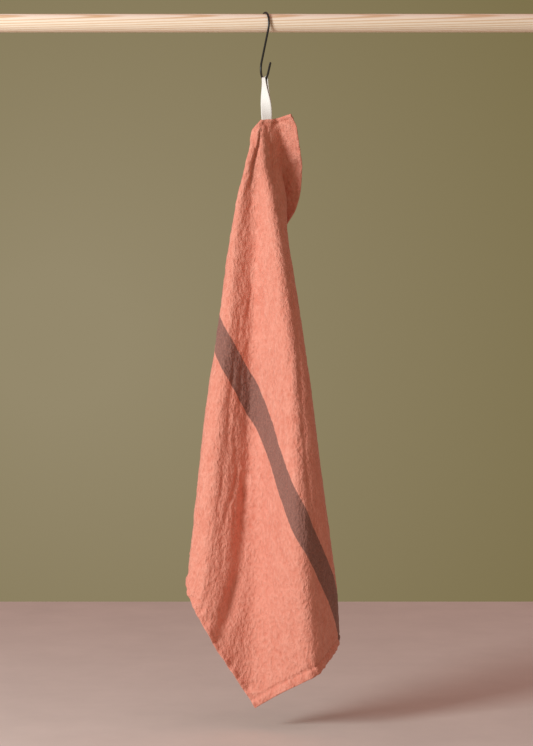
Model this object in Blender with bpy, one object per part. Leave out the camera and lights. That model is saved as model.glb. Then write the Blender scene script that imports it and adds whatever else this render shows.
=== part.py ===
"""Tea towel hanging by its sewn loop from an S-hook on a round wooden rail.

The cloth is a flat rectangle held near one top corner.  Every straight line drawn on the flat cloth
from the hang point stays nearly straight, so the hanging shape is a cone of folds.  The tables below
say, at ten distances from the hang point, where each fold sits and which way the cloth then runs.
"""
import math
from collections import namedtuple

import bpy
import numpy as np

# ---------------------------------------------------------------- driving sizes, metres
CLOTH_WIDTH = 0.500
CLOTH_LENGTH = 0.700
CLOTH_THICK = 0.0016
HANG_ACROSS = 0.460          # hang point on the top hem, measured across from the left long edge
HANG_POINT = np.array([0.450, 0.0, -0.137])

RAIL_LENGTH = 0.900
RAIL_RADIUS = 0.013
RAIL_CHAMFER = 0.001

WIRE_RADIUS = 0.0015
HOOK_BEND_RADIUS = 0.017
HOOK_BOTTOM_Z = -0.080       # centre-line of the lower bend
HOOK_TAIL = 0.015
HOOK_TAIL_FLARE = 36.0       # degrees from vertical
HOOK_TURN = 20.0             # degrees the hook's plane is turned away from square to the rail
LOAD_LINE_X = 0.447          # upper and lower bends hang on one vertical line

TAPE_THICK = 0.0010
TAPE_WIDTH_HOOK = 0.0135
TAPE_WIDTH_HEM = 0.0160
PIECE_GAP = 0.00032          # between neighbouring pieces
TAPE_SADDLE_GAP = 0.00042    # tape over the wire, whose flat facets come a little nearer
TAPE_END_LIFT = 0.00078      # tape's cut ends above the middle of the hem's edge

# ---------------------------------------------------------------- fold tables
# Flat directions are degrees about the hang point: 0 points at the free bottom corner, the left top
# corner is at -56.7 and the line straight down to the short hem is at +33.3.
# A heading is the way the cloth travels in plan: 0 to the right, 90 straight back.
STATIONS = (0.020, 0.030, 0.050, 0.070, 0.100, 0.175, 0.300, 0.450, 0.620, 0.800)
PANEL_HEADING = (-30, -30, -30, -31, -34, -44, -50, -57, -59, -24)
LEAN_LEFT = (0.020,) * 10
LEAN_FORWARD = (0.020,) * 6 + (0.022, 0.026, 0.032, 0.036)

Fold = namedtuple("Fold", "name softness_mm at_deg heading_after")

FOLDS_LEFT = (
    Fold("front_valley", 4.5, (-24, -20, -16, -13, -11.5, -7.5, -3.2, -1.5, -0.5, -0.5),
         (50, 54, 58, 56, 48, 32, 35, 36, 32, 24)),
    Fold("left_crest", 4.5, (-33, -29, -26, -23.5, -20.5, -15.4, -10.4, -9.0, -7.0, -6.3),
         (-30, -40, -45, -44, -42, -45, -52, -53, -42, -36)),
    Fold("left_edge", 3.5, (-60, -54, -34.5, -28.5, -24.5, -19, -15.0, -12.6, -10.0, -9.4),
         (-60, -98, -98, -99, -100, -100, -97, -93, -93, -94)),
    Fold("rear_left_turn", 7.0, (-62, -58, -46, -42, -40, -34, -27.6, -26.2, -24, -23),
         (-60, -105, -112, -130, -150, -180, -262, -262, -262, -262)),
    Fold("rear_inner_turn", 7.0, (-64, -60, -53, -51, -50, -44, -38.5, -37, -36, -36),
         (-60, -105, -115, -125, -130, -135, -85, -85, -85, -85)),
    Fold("rear_flap", 8.0, (-68, -62, -56, -55, -54, -51, -49, -47.5, -46, -46),
         (-60, -105, -115, -120, -125, -110, -75, -55, -55, -55)),
)
FOLDS_RIGHT = (
    Fold("front_ridge", 4.5, (-18, -14, -7.5, -2.0, 3.5, 7.0, 9.2, 10.0, 8.3, 6.3),
         (40, 46, 54, 58, 58, 56, 52, 43, 43, 78)),
    Fold("right_edge", 4.5, (15, 15, 15, 25, 27, 17, 15.6, 15.1, 14.4, 13.4),
         (40, 46, 54, 68, 112, 140, 105, 100, 98, 98)),
    Fold("rear_right_turn", 7.0, (36, 36, 36, 36, 36, 29, 27.0, 25.5, 24, 23),
         (40, 46, 54, 68, 112, 150, 258, 262, 262, 262)),
)

# The strip beyond the hang point, between it and the near top corner, down the right long edge.
# It runs on from the cone for a start, then bends to a heading of its own.
StripStation = namedtuple("StripStation", "below_top heading rise start bend")
STRIP = (
    StripStation(0.000, -34, 0.20, 0.010, 0.010),
    StripStation(0.020, -30, 0.15, 0.008, 0.012),
    StripStation(0.040, -42, 0.10, 0.008, 0.012),
    StripStation(0.065, -30, 0.06, 0.006, 0.012),
    StripStation(0.090, -10, 0.03, 0.005, 0.012),
    StripStation(0.110, -12, 0.01, 0.004, 0.013),
    StripStation(0.130, 4, 0.00, 0.002, 0.014),
    StripStation(0.155, -42, 0.00, 0.000, 0.018),
    StripStation(0.180, 10, 0.00, 0.000, 0.018),
    StripStation(0.230, 20, 0.00, 0.000, 0.020),
    StripStation(0.300, 62, 0.00, 0.000, 0.024),
    StripStation(0.450, 84, 0.00, 0.000, 0.028),
    StripStation(0.700, 80, 0.00, 0.000, 0.030),
)

# Cut across the threads the cloth stretches a little: how far the lower part has sagged either side
# of the line to the free corner, and over which flat directions the sag builds up.
SAG_LEFT = 0.0075
SAG_LEFT_WITHIN = 3.0
SAG_RIGHT = 0.017
SAG_RIGHT_WITHIN = 7.0
SAG_FROM = 0.300
SAG_FULL = 0.760

# The sewn tape holds the top edge flat and level across its own width, and the hem beyond it bows.
PLATE_HEADING = 15.0
PLATE_REACH = 0.005
PLATE_FADE = 0.010
BOW = (-0.0010, 0.0, 0.0036)
BOW_START = 0.008
BOW_FADE = 0.009
BOW_END = 0.034

RIGHT_LIMIT = math.degrees(math.atan2(HANG_ACROSS, CLOTH_LENGTH))
LEFT_LIMIT = RIGHT_LIMIT - 90.0


# ---------------------------------------------------------------- hanging surface of the cloth
def eased(places, values, at):
    """Smooth curve through the table values that never overshoots them."""
    x = np.asarray(places, float)
    v = np.asarray(values, float)
    at = min(max(at, x[0]), x[-1])
    k = min(max(int(np.searchsorted(x, at, side="right")) - 1, 0), len(x) - 2)
    rise = np.diff(v) / np.diff(x)
    slope = np.zeros_like(v)
    slope[0] = rise[0]
    slope[-1] = rise[-1]
    for i in range(1, len(v) - 1):
        if rise[i - 1] * rise[i] > 0:
            slope[i] = 2 * rise[i - 1] * rise[i] / (rise[i - 1] + rise[i])
    step = x[k + 1] - x[k]
    f = (at - x[k]) / step
    from_left = (1 + 2 * f) * (1 - f) ** 2 * v[k] + f * (1 - f) ** 2 * step * slope[k]
    from_right = f * f * (3 - 2 * f) * v[k + 1] + f * f * (f - 1) * step * slope[k + 1]
    return from_left + from_right


def blurred(places, values, at, reach):
    """The same curve averaged a little either side, so that no station shows as a kink."""
    weights = ((-2, 0.12), (-1, 0.23), (0, 0.30), (1, 0.23), (2, 0.12))
    return sum(weight * eased(places, values, at + step * reach) for step, weight in weights)


def at_distance(values, distance):
    return blurred(np.log(STATIONS), values, math.log(max(distance, 1e-4)), 0.08)


def headings(directions, distance):
    """Heading of the cloth, in degrees, along one section of the cone."""
    panel = at_distance(PANEL_HEADING, distance)
    result = np.full_like(directions, panel, dtype=float)
    for side, folds in ((-1, FOLDS_LEFT), (1, FOLDS_RIGHT)):
        before = panel
        for fold in folds:
            place = at_distance(fold.at_deg, distance)
            after = at_distance(fold.heading_after, distance)
            spread = fold.softness_mm * 0.001 * math.sqrt(max(distance, 0.02) / 0.30)
            width = math.degrees(spread / max(distance, 0.004))
            ease = np.clip(-side * (directions - place) / width, -60, 60)
            result += (after - before) / (1 + np.exp(ease))
            before = after
    return result


def section(distance, count=240):
    """Unit vectors from the hang point to the cloth, for every flat direction, at one distance."""
    start = np.array([-at_distance(LEAN_LEFT, distance), -at_distance(LEAN_FORWARD, distance), -1.0])
    start /= np.linalg.norm(start)
    sides = []
    for limit in (LEFT_LIMIT, RIGHT_LIMIT):
        directions = np.linspace(0, limit, count)
        turn = np.radians(headings(directions, distance))
        step = math.radians(limit / (count - 1))
        points = [start]
        for i in range(1, count):
            here = points[-1]
            heading = (turn[i - 1] + turn[i]) / 2
            across = np.array([1.0, 0, 0]) - here[0] * here
            across /= np.linalg.norm(across)
            back = np.cross(across, here)
            if back[1] < 0:
                back = -back
            here = here + step * (math.cos(heading) * across + math.sin(heading) * back)
            points.append(here / np.linalg.norm(here))
        sides.append((directions, np.array(points)))
    directions = np.concatenate([sides[0][0][::-1], sides[1][0][1:]])
    points = np.concatenate([sides[0][1][::-1], sides[1][1][1:]])
    return directions, points


def between(table, row, col):
    """Values of a table read between its rows and columns."""
    i = np.clip(row.astype(int), 0, table.shape[0] - 2)
    j = np.clip(col.astype(int), 0, table.shape[1] - 2)
    down = (row - i)[:, None]
    along = (col - j)[:, None]
    near = table[i, j] * (1 - along) + table[i, j + 1] * along
    far = table[i + 1, j] * (1 - along) + table[i + 1, j + 1] * along
    return near * (1 - down) + far * down


class Cloth:
    """Hanging position of any point (across, up) of the flat cloth."""

    def __init__(self):
        self.distances = np.geomspace(0.004, 0.84, 72)
        sections = [section(d) for d in self.distances]
        self.directions = sections[0][0]
        self.rays = np.array([points for _, points in sections])
        self.below = np.linspace(0, CLOTH_LENGTH, 141)
        self.beyond = np.linspace(0, CLOTH_WIDTH - HANG_ACROSS, 41)
        self.strip = np.array([self.strip_row(below) for below in self.below])

    def cone(self, direction, distance):
        row = np.interp(np.log(np.maximum(distance, self.distances[0])),
                        np.log(self.distances), np.arange(len(self.distances)))
        col = np.interp(direction, self.directions, np.arange(len(self.directions)))
        ray = between(self.rays, row, col)
        ray /= np.linalg.norm(ray, axis=1, keepdims=True)
        return ray * np.asarray(distance)[:, None]

    def strip_row(self, below):
        """Steps beyond the hang line: the cloth leaves along the cone and turns to its own heading."""
        places = [s.below_top for s in STRIP]
        heading = blurred(places, [s.heading for s in STRIP], below, 0.007)
        rise = blurred(places, [s.rise for s in STRIP], below, 0.007)
        start = blurred(places, [s.start for s in STRIP], below, 0.007)
        bend = blurred(places, [s.bend for s in STRIP], below, 0.007)
        reach = np.array([max(below, 0.004)])
        edge = np.array([RIGHT_LIMIT])
        leaving = (self.cone(edge, reach) - self.cone(edge - np.degrees(0.001 / reach), reach))[0]
        leaving /= np.linalg.norm(leaving)
        first = at_distance(FOLDS_RIGHT[-1].heading_after, below)
        seen = math.degrees(math.atan2(leaving[1], leaving[0]))
        first = seen + 360 * round((first - seen) / 360)
        f = np.clip((self.beyond + self.beyond[1] / 2 - start) / bend, 0, 1)
        turn = np.radians(first + (heading - first) * f * f * (3 - 2 * f))
        lift = leaving[2] * np.clip(1 - self.beyond / 0.006, 0, 1) + rise * f
        steps = np.stack([np.cos(turn), np.sin(turn), lift], axis=1)
        steps *= self.beyond[1] / np.linalg.norm(steps, axis=1, keepdims=True)
        return np.concatenate([[np.zeros(3)], np.cumsum(steps[:-1], axis=0)])

    def flat_polar(self, across, up):
        side = np.minimum(across, HANG_ACROSS) - HANG_ACROSS
        below = CLOTH_LENGTH - up
        return np.degrees(np.arctan2(side, below)) + RIGHT_LIMIT, np.hypot(side, below)

    def __call__(self, across, up):
        across = np.asarray(across, float)
        up = np.asarray(up, float)
        direction, distance = self.flat_polar(across, up)
        point = self.cone(direction, distance)
        point[:, 2] -= self.sag(direction, distance)
        row = np.interp(CLOTH_LENGTH - up, self.below, np.arange(len(self.below)))
        col = np.interp(np.maximum(across - HANG_ACROSS, 0), self.beyond, np.arange(len(self.beyond)))
        point = point + between(self.strip, row, col)
        return self.held_by_tape(across, up, point) + HANG_POINT

    def sag(self, direction, distance):
        left = SAG_LEFT * (1 - np.exp(-(direction / SAG_LEFT_WITHIN) ** 2))
        right = SAG_RIGHT * (1 - np.exp(-(direction / SAG_RIGHT_WITHIN) ** 2))
        f = np.clip((distance - SAG_FROM) / (SAG_FULL - SAG_FROM), 0, 1)
        return np.where(direction < 0, left, right) * f * f * (3 - 2 * f)

    def held_by_tape(self, across, up, point):
        """Flattens the cloth under the tape and bows the hem that leaves it to the left."""
        left = HANG_ACROSS - across
        below = CLOTH_LENGTH - up
        bow = np.clip(np.minimum(left / BOW_START, (BOW_END - left) / BOW_FADE), 0, 1)
        bow *= bow * (3 - 2 * bow) * np.exp(-(below / 0.028) ** 2)
        point = point + bow[:, None] * np.array(BOW)
        heading = math.radians(PLATE_HEADING)
        plate = np.stack([-left * math.cos(heading), -left * math.sin(heading), -below], axis=1)
        weight = np.clip(1 - (np.hypot(left, below) - PLATE_REACH) / PLATE_FADE, 0, 1)
        weight = (weight * weight * (3 - 2 * weight))[:, None]
        return point * (1 - weight) + plate * weight

    def normals(self, across, up):
        """Unit normals towards the face of the cloth that shows at the front."""
        e = 0.002
        u0 = np.maximum(across - e, 0)
        u1 = np.minimum(across + e, CLOTH_WIDTH)
        v0 = np.maximum(up - e, 0)
        v1 = np.minimum(up + e, CLOTH_LENGTH)
        n = np.cross(self(u1, up) - self(u0, up), self(across, v1) - self(across, v0))
        return n / np.linalg.norm(n, axis=1, keepdims=True)


# ---------------------------------------------------------------- helpers
def clear_scene():
    for item in list(bpy.data.objects):
        bpy.data.objects.remove(item, do_unlink=True)


def make_material(name, colour, roughness):
    material = bpy.data.materials.new(name)
    material.use_nodes = True
    shader = material.node_tree.nodes["Principled BSDF"]
    shader.inputs["Base Color"].default_value = (*colour, 1.0)
    shader.inputs["Roughness"].default_value = roughness
    material.diffuse_color = (*colour, 1.0)
    return material


def add_piece(name, vertices, faces, material, smooth=True):
    mesh = bpy.data.meshes.new(name)
    mesh.from_pydata([tuple(float(c) for c in v) for v in vertices], [], faces)
    mesh.validate()
    mesh.materials.append(material)
    for polygon in mesh.polygons:
        polygon.use_smooth = smooth
    piece = bpy.data.objects.new(name, mesh)
    bpy.context.scene.collection.objects.link(piece)
    return piece


def thicken(points, normals, cells, border, thickness):
    """Closed solid from a mid-surface: front skin, back skin and a rim along the border loop."""
    count = len(points)
    vertices = list(points + normals * thickness / 2) + list(points - normals * thickness / 2)
    faces = [tuple(cell) for cell in cells]
    faces += [tuple(count + i for i in reversed(cell)) for cell in cells]
    for a, b in zip(border, border[1:] + border[:1]):
        faces.append((b, a, count + a, count + b))
    return vertices, faces


# ---------------------------------------------------------------- towel
LEFT_COLUMNS = 70
RIGHT_COLUMNS = 42
STRIP_COLUMNS = (0.005, 0.010, 0.015, 0.020, 0.030, 0.040)
ROWS = (0.009, 0.022, 0.038, 0.060, 0.090, 0.130, 0.180, 0.240, 0.310, 0.390,
        0.470, 0.550, 0.630, 0.710, 0.790, 0.870, 0.940, 1.0)


def towel_grid():
    """Flat positions of the mesh: rays from the hang point, then columns down the strip."""
    directions = np.concatenate([np.linspace(LEFT_LIMIT, 0, LEFT_COLUMNS + 1),
                                 np.linspace(0, RIGHT_LIMIT, RIGHT_COLUMNS + 1)[1:]])
    grid = [(HANG_ACROSS, CLOTH_LENGTH)]
    for direction in directions:
        angle = math.radians(direction - RIGHT_LIMIT)
        to_side = HANG_ACROSS / max(-math.sin(angle), 1e-9)
        to_hem = CLOTH_LENGTH / max(math.cos(angle), 1e-9)
        reach = min(to_side, to_hem)
        for row in ROWS:
            across = HANG_ACROSS + math.sin(angle) * reach * row
            up = CLOTH_LENGTH - math.cos(angle) * reach * row
            grid.append((max(across, 0.0), max(up, 0.0)))
    for beyond in STRIP_COLUMNS:
        for row in (0.0,) + ROWS:
            grid.append((HANG_ACROSS + beyond, CLOTH_LENGTH * (1 - row)))
    return np.array(grid), len(directions)


def build_towel(cloth):
    grid, rays = towel_grid()
    rows = len(ROWS)
    ray = lambda j, k: 0 if k == 0 else 1 + j * rows + (k - 1)
    strip_start = 1 + rays * rows

    def strip(j, k):
        return ray(rays - 1, k) if j == 0 else strip_start + (j - 1) * (rows + 1) + k

    cells = [(0, ray(j, 1), ray(j + 1, 1)) for j in range(rays - 1)]
    cells += [(ray(j, k), ray(j, k + 1), ray(j + 1, k + 1), ray(j + 1, k))
              for j in range(rays - 1) for k in range(1, rows)]
    cells += [(strip(j, k), strip(j, k + 1), strip(j + 1, k + 1), strip(j + 1, k))
              for j in range(len(STRIP_COLUMNS)) for k in range(rows)]
    border = [ray(0, k) for k in range(rows + 1)]
    border += [ray(j, rows) for j in range(1, rays)]
    border += [strip(j, rows) for j in range(1, len(STRIP_COLUMNS) + 1)]
    border += [strip(len(STRIP_COLUMNS), k) for k in range(rows - 1, -1, -1)]
    border += [strip(j, 0) for j in range(len(STRIP_COLUMNS) - 1, 0, -1)]
    points = cloth(grid[:, 0], grid[:, 1])
    normals = cloth.normals(grid[:, 0], grid[:, 1])
    vertices, faces = thicken(points, normals, cells, border, CLOTH_THICK)
    # every cell is split along its shorter diagonal
    triangles = []
    for face in faces:
        if len(face) == 3:
            triangles.append(face)
            continue
        a, b, c, d = face
        first = np.linalg.norm(vertices[a] - vertices[c])
        second = np.linalg.norm(vertices[b] - vertices[d])
        triangles += [(a, b, c), (a, c, d)] if first <= second else [(a, b, d), (b, c, d)]
    material = make_material("washed_cotton_terracotta", (0.83, 0.36, 0.25), 0.9)
    return add_piece("towel", vertices, triangles, material)


# ---------------------------------------------------------------- hanging loop
TAPE_LINES = 5
LEG_STEPS = 14
BEND_STEPS = 10
LEG_HALF_GAP_HEM = 0.0009


def hook_point(across_plane, height):
    """World point of (distance behind the load line in the hook's plane, height)."""
    turn = math.radians(HOOK_TURN)
    return np.array([LOAD_LINE_X - across_plane * math.sin(turn),
                     across_plane * math.cos(turn), height])


def smoothstep(f):
    return f * f * (3 - 2 * f)


def build_hanging_loop(cloth):
    """Tape laid over the lower bend of the hook, its legs turning to face the front at the hem."""
    bend = WIRE_RADIUS + TAPE_SADDLE_GAP + TAPE_THICK / 2
    top_angle = math.radians(HOOK_TURN - 90)
    offsets = np.linspace(-0.5, 0.5, TAPE_LINES)
    hem = cloth(HANG_ACROSS + offsets * TAPE_WIDTH_HEM, np.full(TAPE_LINES, CLOTH_LENGTH))
    hem_run = hem[-1] - hem[0]
    hem_angle = math.atan2(hem_run[1], hem_run[0])
    hem_middle = (hem[0] + hem[-1]) / 2
    rows = []

    def leg(side, fraction):
        """One line across the tape; fraction 0 is at the hem and 1 where the bend starts."""
        angle = hem_angle + (top_angle - hem_angle) * smoothstep(fraction)
        half_gap = LEG_HALF_GAP_HEM + (bend - LEG_HALF_GAP_HEM) * fraction ** 1.5
        width = TAPE_WIDTH_HEM + (TAPE_WIDTH_HOOK - TAPE_WIDTH_HEM) * fraction
        normal = np.array([math.sin(angle), -math.cos(angle), 0]) * side
        line = []
        for i, offset in enumerate(offsets):
            wire = wire_height(offset * TAPE_WIDTH_HOOK)
            low = hem[i][2] + TAPE_END_LIFT
            z = low + (wire - low) * fraction
            top_middle = hook_point(0, 0)
            middle = hem_middle + (top_middle - hem_middle) * fraction
            run = np.array([math.cos(angle), math.sin(angle), 0]) * offset * width
            line.append(np.array([middle[0], middle[1], z]) + run + normal * half_gap)
        return line

    for k in range(LEG_STEPS + 1):
        rows.append(leg(1, k / LEG_STEPS))
    for k in range(1, BEND_STEPS):
        swing = math.pi * k / BEND_STEPS
        line = []
        for offset in offsets:
            across_plane = offset * TAPE_WIDTH_HOOK
            centre = hook_point(0, wire_height(across_plane))
            slope = math.sqrt(1 - (across_plane / HOOK_BEND_RADIUS) ** 2)
            run = np.array([math.cos(top_angle), math.sin(top_angle), 0]) * offset * TAPE_WIDTH_HOOK
            normal = np.array([math.sin(top_angle), -math.cos(top_angle), 0])
            lift = np.array([0, 0, math.sin(swing) * bend / slope])
            line.append(centre + run + normal * math.cos(swing) * bend + lift)
        rows.append(line)
    for k in range(LEG_STEPS, -1, -1):
        rows.append(leg(-1, k / LEG_STEPS))

    points = np.array(rows)
    along = np.gradient(points, axis=0)
    across = np.gradient(points, axis=1)
    normals = np.cross(across, along)
    normals /= np.linalg.norm(normals, axis=2, keepdims=True)
    count = len(rows)
    index = lambda k, i: k * TAPE_LINES + i
    cells = [(index(k, i), index(k, i + 1), index(k + 1, i + 1), index(k + 1, i))
             for k in range(count - 1) for i in range(TAPE_LINES - 1)]
    border = [index(0, i) for i in range(TAPE_LINES)]
    border += [index(k, TAPE_LINES - 1) for k in range(1, count)]
    border += [index(count - 1, i) for i in range(TAPE_LINES - 2, -1, -1)]
    border += [index(k, 0) for k in range(count - 2, 0, -1)]
    vertices, faces = thicken(points.reshape(-1, 3), normals.reshape(-1, 3), cells, border, TAPE_THICK)
    material = make_material("white_cotton_tape", (0.86, 0.85, 0.83), 0.85)
    return add_piece("hanging_loop", vertices, faces, material)


# ---------------------------------------------------------------- S-hook
WIRE_SIDES = 14
BEND_SEGMENTS = 26


def wire_height(across_plane):
    """Height of the lower bend's centre-line above one place in the hook's plane."""
    drop = math.sqrt(HOOK_BEND_RADIUS ** 2 - across_plane ** 2)
    return HOOK_BOTTOM_Z + HOOK_BEND_RADIUS - drop


def hook_path():
    """Centre-line in the hook's plane, from the upper tail over the rail to the lower tail."""
    top = RAIL_RADIUS + PIECE_GAP + WIRE_RADIUS
    centre_z = (top + HOOK_BOTTOM_Z) / 2
    bend_z = top - HOOK_BEND_RADIUS
    shank_lean = math.degrees(math.asin(HOOK_BEND_RADIUS / (bend_z - centre_z)))
    start = HOOK_TAIL_FLARE
    end = 180 + shank_lean
    half = []
    for k in range(BEND_SEGMENTS + 1):
        angle = math.radians(start + (end - start) * k / BEND_SEGMENTS)
        half.append((HOOK_BEND_RADIUS * math.cos(angle), bend_z + HOOK_BEND_RADIUS * math.sin(angle)))
    flare = math.radians(HOOK_TAIL_FLARE)
    tail_end = (half[0][0] + HOOK_TAIL * math.sin(flare), half[0][1] - HOOK_TAIL * math.cos(flare))
    tail_middle = ((half[0][0] + tail_end[0]) / 2, (half[0][1] + tail_end[1]) / 2)
    half = [tail_end, tail_middle] + half
    other = [(-q, 2 * centre_z - z) for q, z in reversed(half)]
    return half + [(0.0, centre_z)] + other


def build_hook():
    """Round wire swept along the path, with rounded ends."""
    path = np.array(hook_path())
    tangents = np.gradient(path, axis=0)
    tangents[0] = path[1] - path[0]
    tangents[-1] = path[-1] - path[-2]
    tangents /= np.linalg.norm(tangents, axis=1, keepdims=True)
    rings = []
    for angle in (20, 50):
        a = math.radians(angle)
        rings.append((path[0] - tangents[0] * WIRE_RADIUS * math.cos(a), tangents[0], math.sin(a)))
    rings += [(p, t, 1.0) for p, t in zip(path, tangents)]
    for angle in (50, 20):
        a = math.radians(angle)
        rings.append((path[-1] + tangents[-1] * WIRE_RADIUS * math.cos(a), tangents[-1], math.sin(a)))
    turn = math.radians(HOOK_TURN)
    plane_normal = np.array([math.cos(turn), math.sin(turn), 0])
    vertices = []
    for (q, z), (tq, tz), scale in rings:
        centre = hook_point(q, z)
        in_plane = hook_point(tz, 0) - hook_point(0, 0) - np.array([0, 0, tq])
        for i in range(WIRE_SIDES):
            a = 2 * math.pi * i / WIRE_SIDES
            radius = WIRE_RADIUS * scale
            vertices.append(centre + radius * (math.cos(a) * in_plane + math.sin(a) * plane_normal))
    faces = []
    for k in range(len(rings) - 1):
        for i in range(WIRE_SIDES):
            j = (i + 1) % WIRE_SIDES
            faces.append((k * WIRE_SIDES + i, k * WIRE_SIDES + j,
                          (k + 1) * WIRE_SIDES + j, (k + 1) * WIRE_SIDES + i))
    faces.append(tuple(reversed(range(WIRE_SIDES))))
    faces.append(tuple((len(rings) - 1) * WIRE_SIDES + i for i in range(WIRE_SIDES)))
    material = make_material("satin_black_steel", (0.02, 0.02, 0.022), 0.45)
    return add_piece("s_hook", vertices, faces, material)


# ---------------------------------------------------------------- rail
RAIL_SIDES = 64


def build_rail():
    """Round dowel along X from the origin, with a small chamfer at each end."""
    stations = ((0.0, RAIL_RADIUS - RAIL_CHAMFER), (RAIL_CHAMFER, RAIL_RADIUS),
                (RAIL_LENGTH - RAIL_CHAMFER, RAIL_RADIUS), (RAIL_LENGTH, RAIL_RADIUS - RAIL_CHAMFER))
    vertices = []
    for x, radius in stations:
        for i in range(RAIL_SIDES):
            a = 2 * math.pi * (i + 0.5) / RAIL_SIDES
            vertices.append((x, radius * math.cos(a), radius * math.sin(a)))
    faces = []
    for k in range(len(stations) - 1):
        for i in range(RAIL_SIDES):
            j = (i + 1) % RAIL_SIDES
            faces.append((k * RAIL_SIDES + i, (k + 1) * RAIL_SIDES + i,
                          (k + 1) * RAIL_SIDES + j, k * RAIL_SIDES + j))
    faces.append(tuple(range(RAIL_SIDES)))
    faces.append(tuple(3 * RAIL_SIDES + i for i in reversed(range(RAIL_SIDES))))
    material = make_material("pale_pine_dowel", (0.85, 0.72, 0.58), 0.6)
    rail = add_piece("rail", vertices, faces, material)
    for polygon in rail.data.polygons:
        polygon.use_smooth = abs(polygon.normal.x) < 0.2
    return rail


def face_outwards(piece):
    """Turn every face over when the solid's signed volume comes out negative."""
    mesh = piece.data
    mesh.calc_loop_triangles()
    volume = 0.0
    for triangle in mesh.loop_triangles:
        a, b, c = (mesh.vertices[i].co for i in triangle.vertices)
        volume += a.cross(b).dot(c) / 6
    if volume < 0:
        mesh.flip_normals()


def main():
    clear_scene()
    cloth = Cloth()
    pieces = [build_towel(cloth), build_hanging_loop(cloth), build_hook(), build_rail()]
    for piece in pieces:
        face_outwards(piece)


main()
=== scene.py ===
"""Looks for a tea towel that hangs by its tape loop from an S-hook on a pine rail.

The cloth is worked out the way it hangs: every straight line from the hang point on the flat towel
stays nearly straight, so the folds form a cone.  The same fold tables shape the CAD solid, and here
they carry a fine sheet with turned hems, puckers and the crinkle of washed cotton.
"""
import math
from collections import namedtuple

import bpy
import numpy as np
from bpy.props import FloatProperty, FloatVectorProperty, IntProperty, PointerProperty
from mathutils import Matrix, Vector, noise


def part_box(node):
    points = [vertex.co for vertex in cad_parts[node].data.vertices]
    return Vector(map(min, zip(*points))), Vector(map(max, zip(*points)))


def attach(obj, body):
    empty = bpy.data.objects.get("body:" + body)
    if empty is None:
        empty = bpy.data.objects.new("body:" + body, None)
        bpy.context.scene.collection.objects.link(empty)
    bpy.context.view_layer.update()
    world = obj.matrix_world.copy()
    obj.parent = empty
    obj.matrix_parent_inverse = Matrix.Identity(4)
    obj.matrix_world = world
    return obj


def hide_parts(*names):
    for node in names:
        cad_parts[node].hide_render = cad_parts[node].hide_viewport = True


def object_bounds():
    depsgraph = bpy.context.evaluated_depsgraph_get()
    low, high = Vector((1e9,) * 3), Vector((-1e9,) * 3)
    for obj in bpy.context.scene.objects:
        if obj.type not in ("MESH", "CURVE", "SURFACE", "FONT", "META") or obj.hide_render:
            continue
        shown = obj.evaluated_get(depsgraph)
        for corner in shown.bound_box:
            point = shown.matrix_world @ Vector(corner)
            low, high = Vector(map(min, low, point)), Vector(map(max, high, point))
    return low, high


bl_info = {
    "name": "Hanging Tea Towel",
    "version": (1, 0, 0),
    "blender": (4, 5, 0),
    "location": "3D View > Sidebar > Tea Towel",
    "description": "Builds a washed cotton tea towel on an S-hook and a pine rail",
    "category": "Object",
}

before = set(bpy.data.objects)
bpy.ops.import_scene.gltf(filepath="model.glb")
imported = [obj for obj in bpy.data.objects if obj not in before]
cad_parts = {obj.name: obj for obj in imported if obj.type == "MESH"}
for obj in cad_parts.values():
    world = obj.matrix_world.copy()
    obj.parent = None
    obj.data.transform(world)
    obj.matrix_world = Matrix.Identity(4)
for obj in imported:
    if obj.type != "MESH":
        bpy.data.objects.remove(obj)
CAD_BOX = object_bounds()
RAIL_LOW, RAIL_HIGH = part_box("rail")
HOOK_LOW, HOOK_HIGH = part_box("s_hook")


def hex_colour(text):
    """Linear red, green and blue of an sRGB hex value."""
    parts = [int(text[i:i + 2], 16) / 255 for i in (0, 2, 4)]
    return tuple(c / 12.92 if c <= 0.04045 else ((c + 0.055) / 1.055) ** 2.4 for c in parts)


# ---------------------------------------------------------------- sizes in metres, angles in degrees
CLOTH_WIDTH = 0.500
CLOTH_LENGTH = 0.700
HANG_ACROSS = 0.460
HANG_POINT = np.array([0.450, 0.0, -0.137])
RAIL_RADIUS = (RAIL_HIGH.z - RAIL_LOW.z) / 2
WIRE_RADIUS = 0.0015
HOOK_BEND_RADIUS = 0.017
HOOK_TAIL = 0.015
HOOK_TAIL_FLARE = 36.0
HOOK_TURN = 20.0
LOAD_LINE_X = 0.447
HOOK_TOP_Z = HOOK_HIGH.z - WIRE_RADIUS
HOOK_BOTTOM_Z = HOOK_LOW.z + WIRE_RADIUS

# ---------------------------------------------------------------- fold tables
# Flat directions are degrees about the hang point: 0 points at the free bottom corner, the left top
# corner is at -56.7 and the line straight down to the short hem is at +33.3.
# A heading is the way the cloth travels in plan: 0 to the right, 90 straight back.
STATIONS = (0.020, 0.030, 0.050, 0.070, 0.100, 0.175, 0.300, 0.450, 0.620, 0.800)
PANEL_HEADING = (-30, -30, -30, -31, -34, -44, -50, -57, -59, -24)
# Lean of the line to the free corner, to the left and to the front, for each metre down.
LEAN_LEFT = (0.020,) * 10
LEAN_FORWARD = (0.020,) * 6 + (0.022, 0.026, 0.032, 0.036)

Fold = namedtuple("Fold", "name softness_mm at_deg heading_after")

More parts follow.
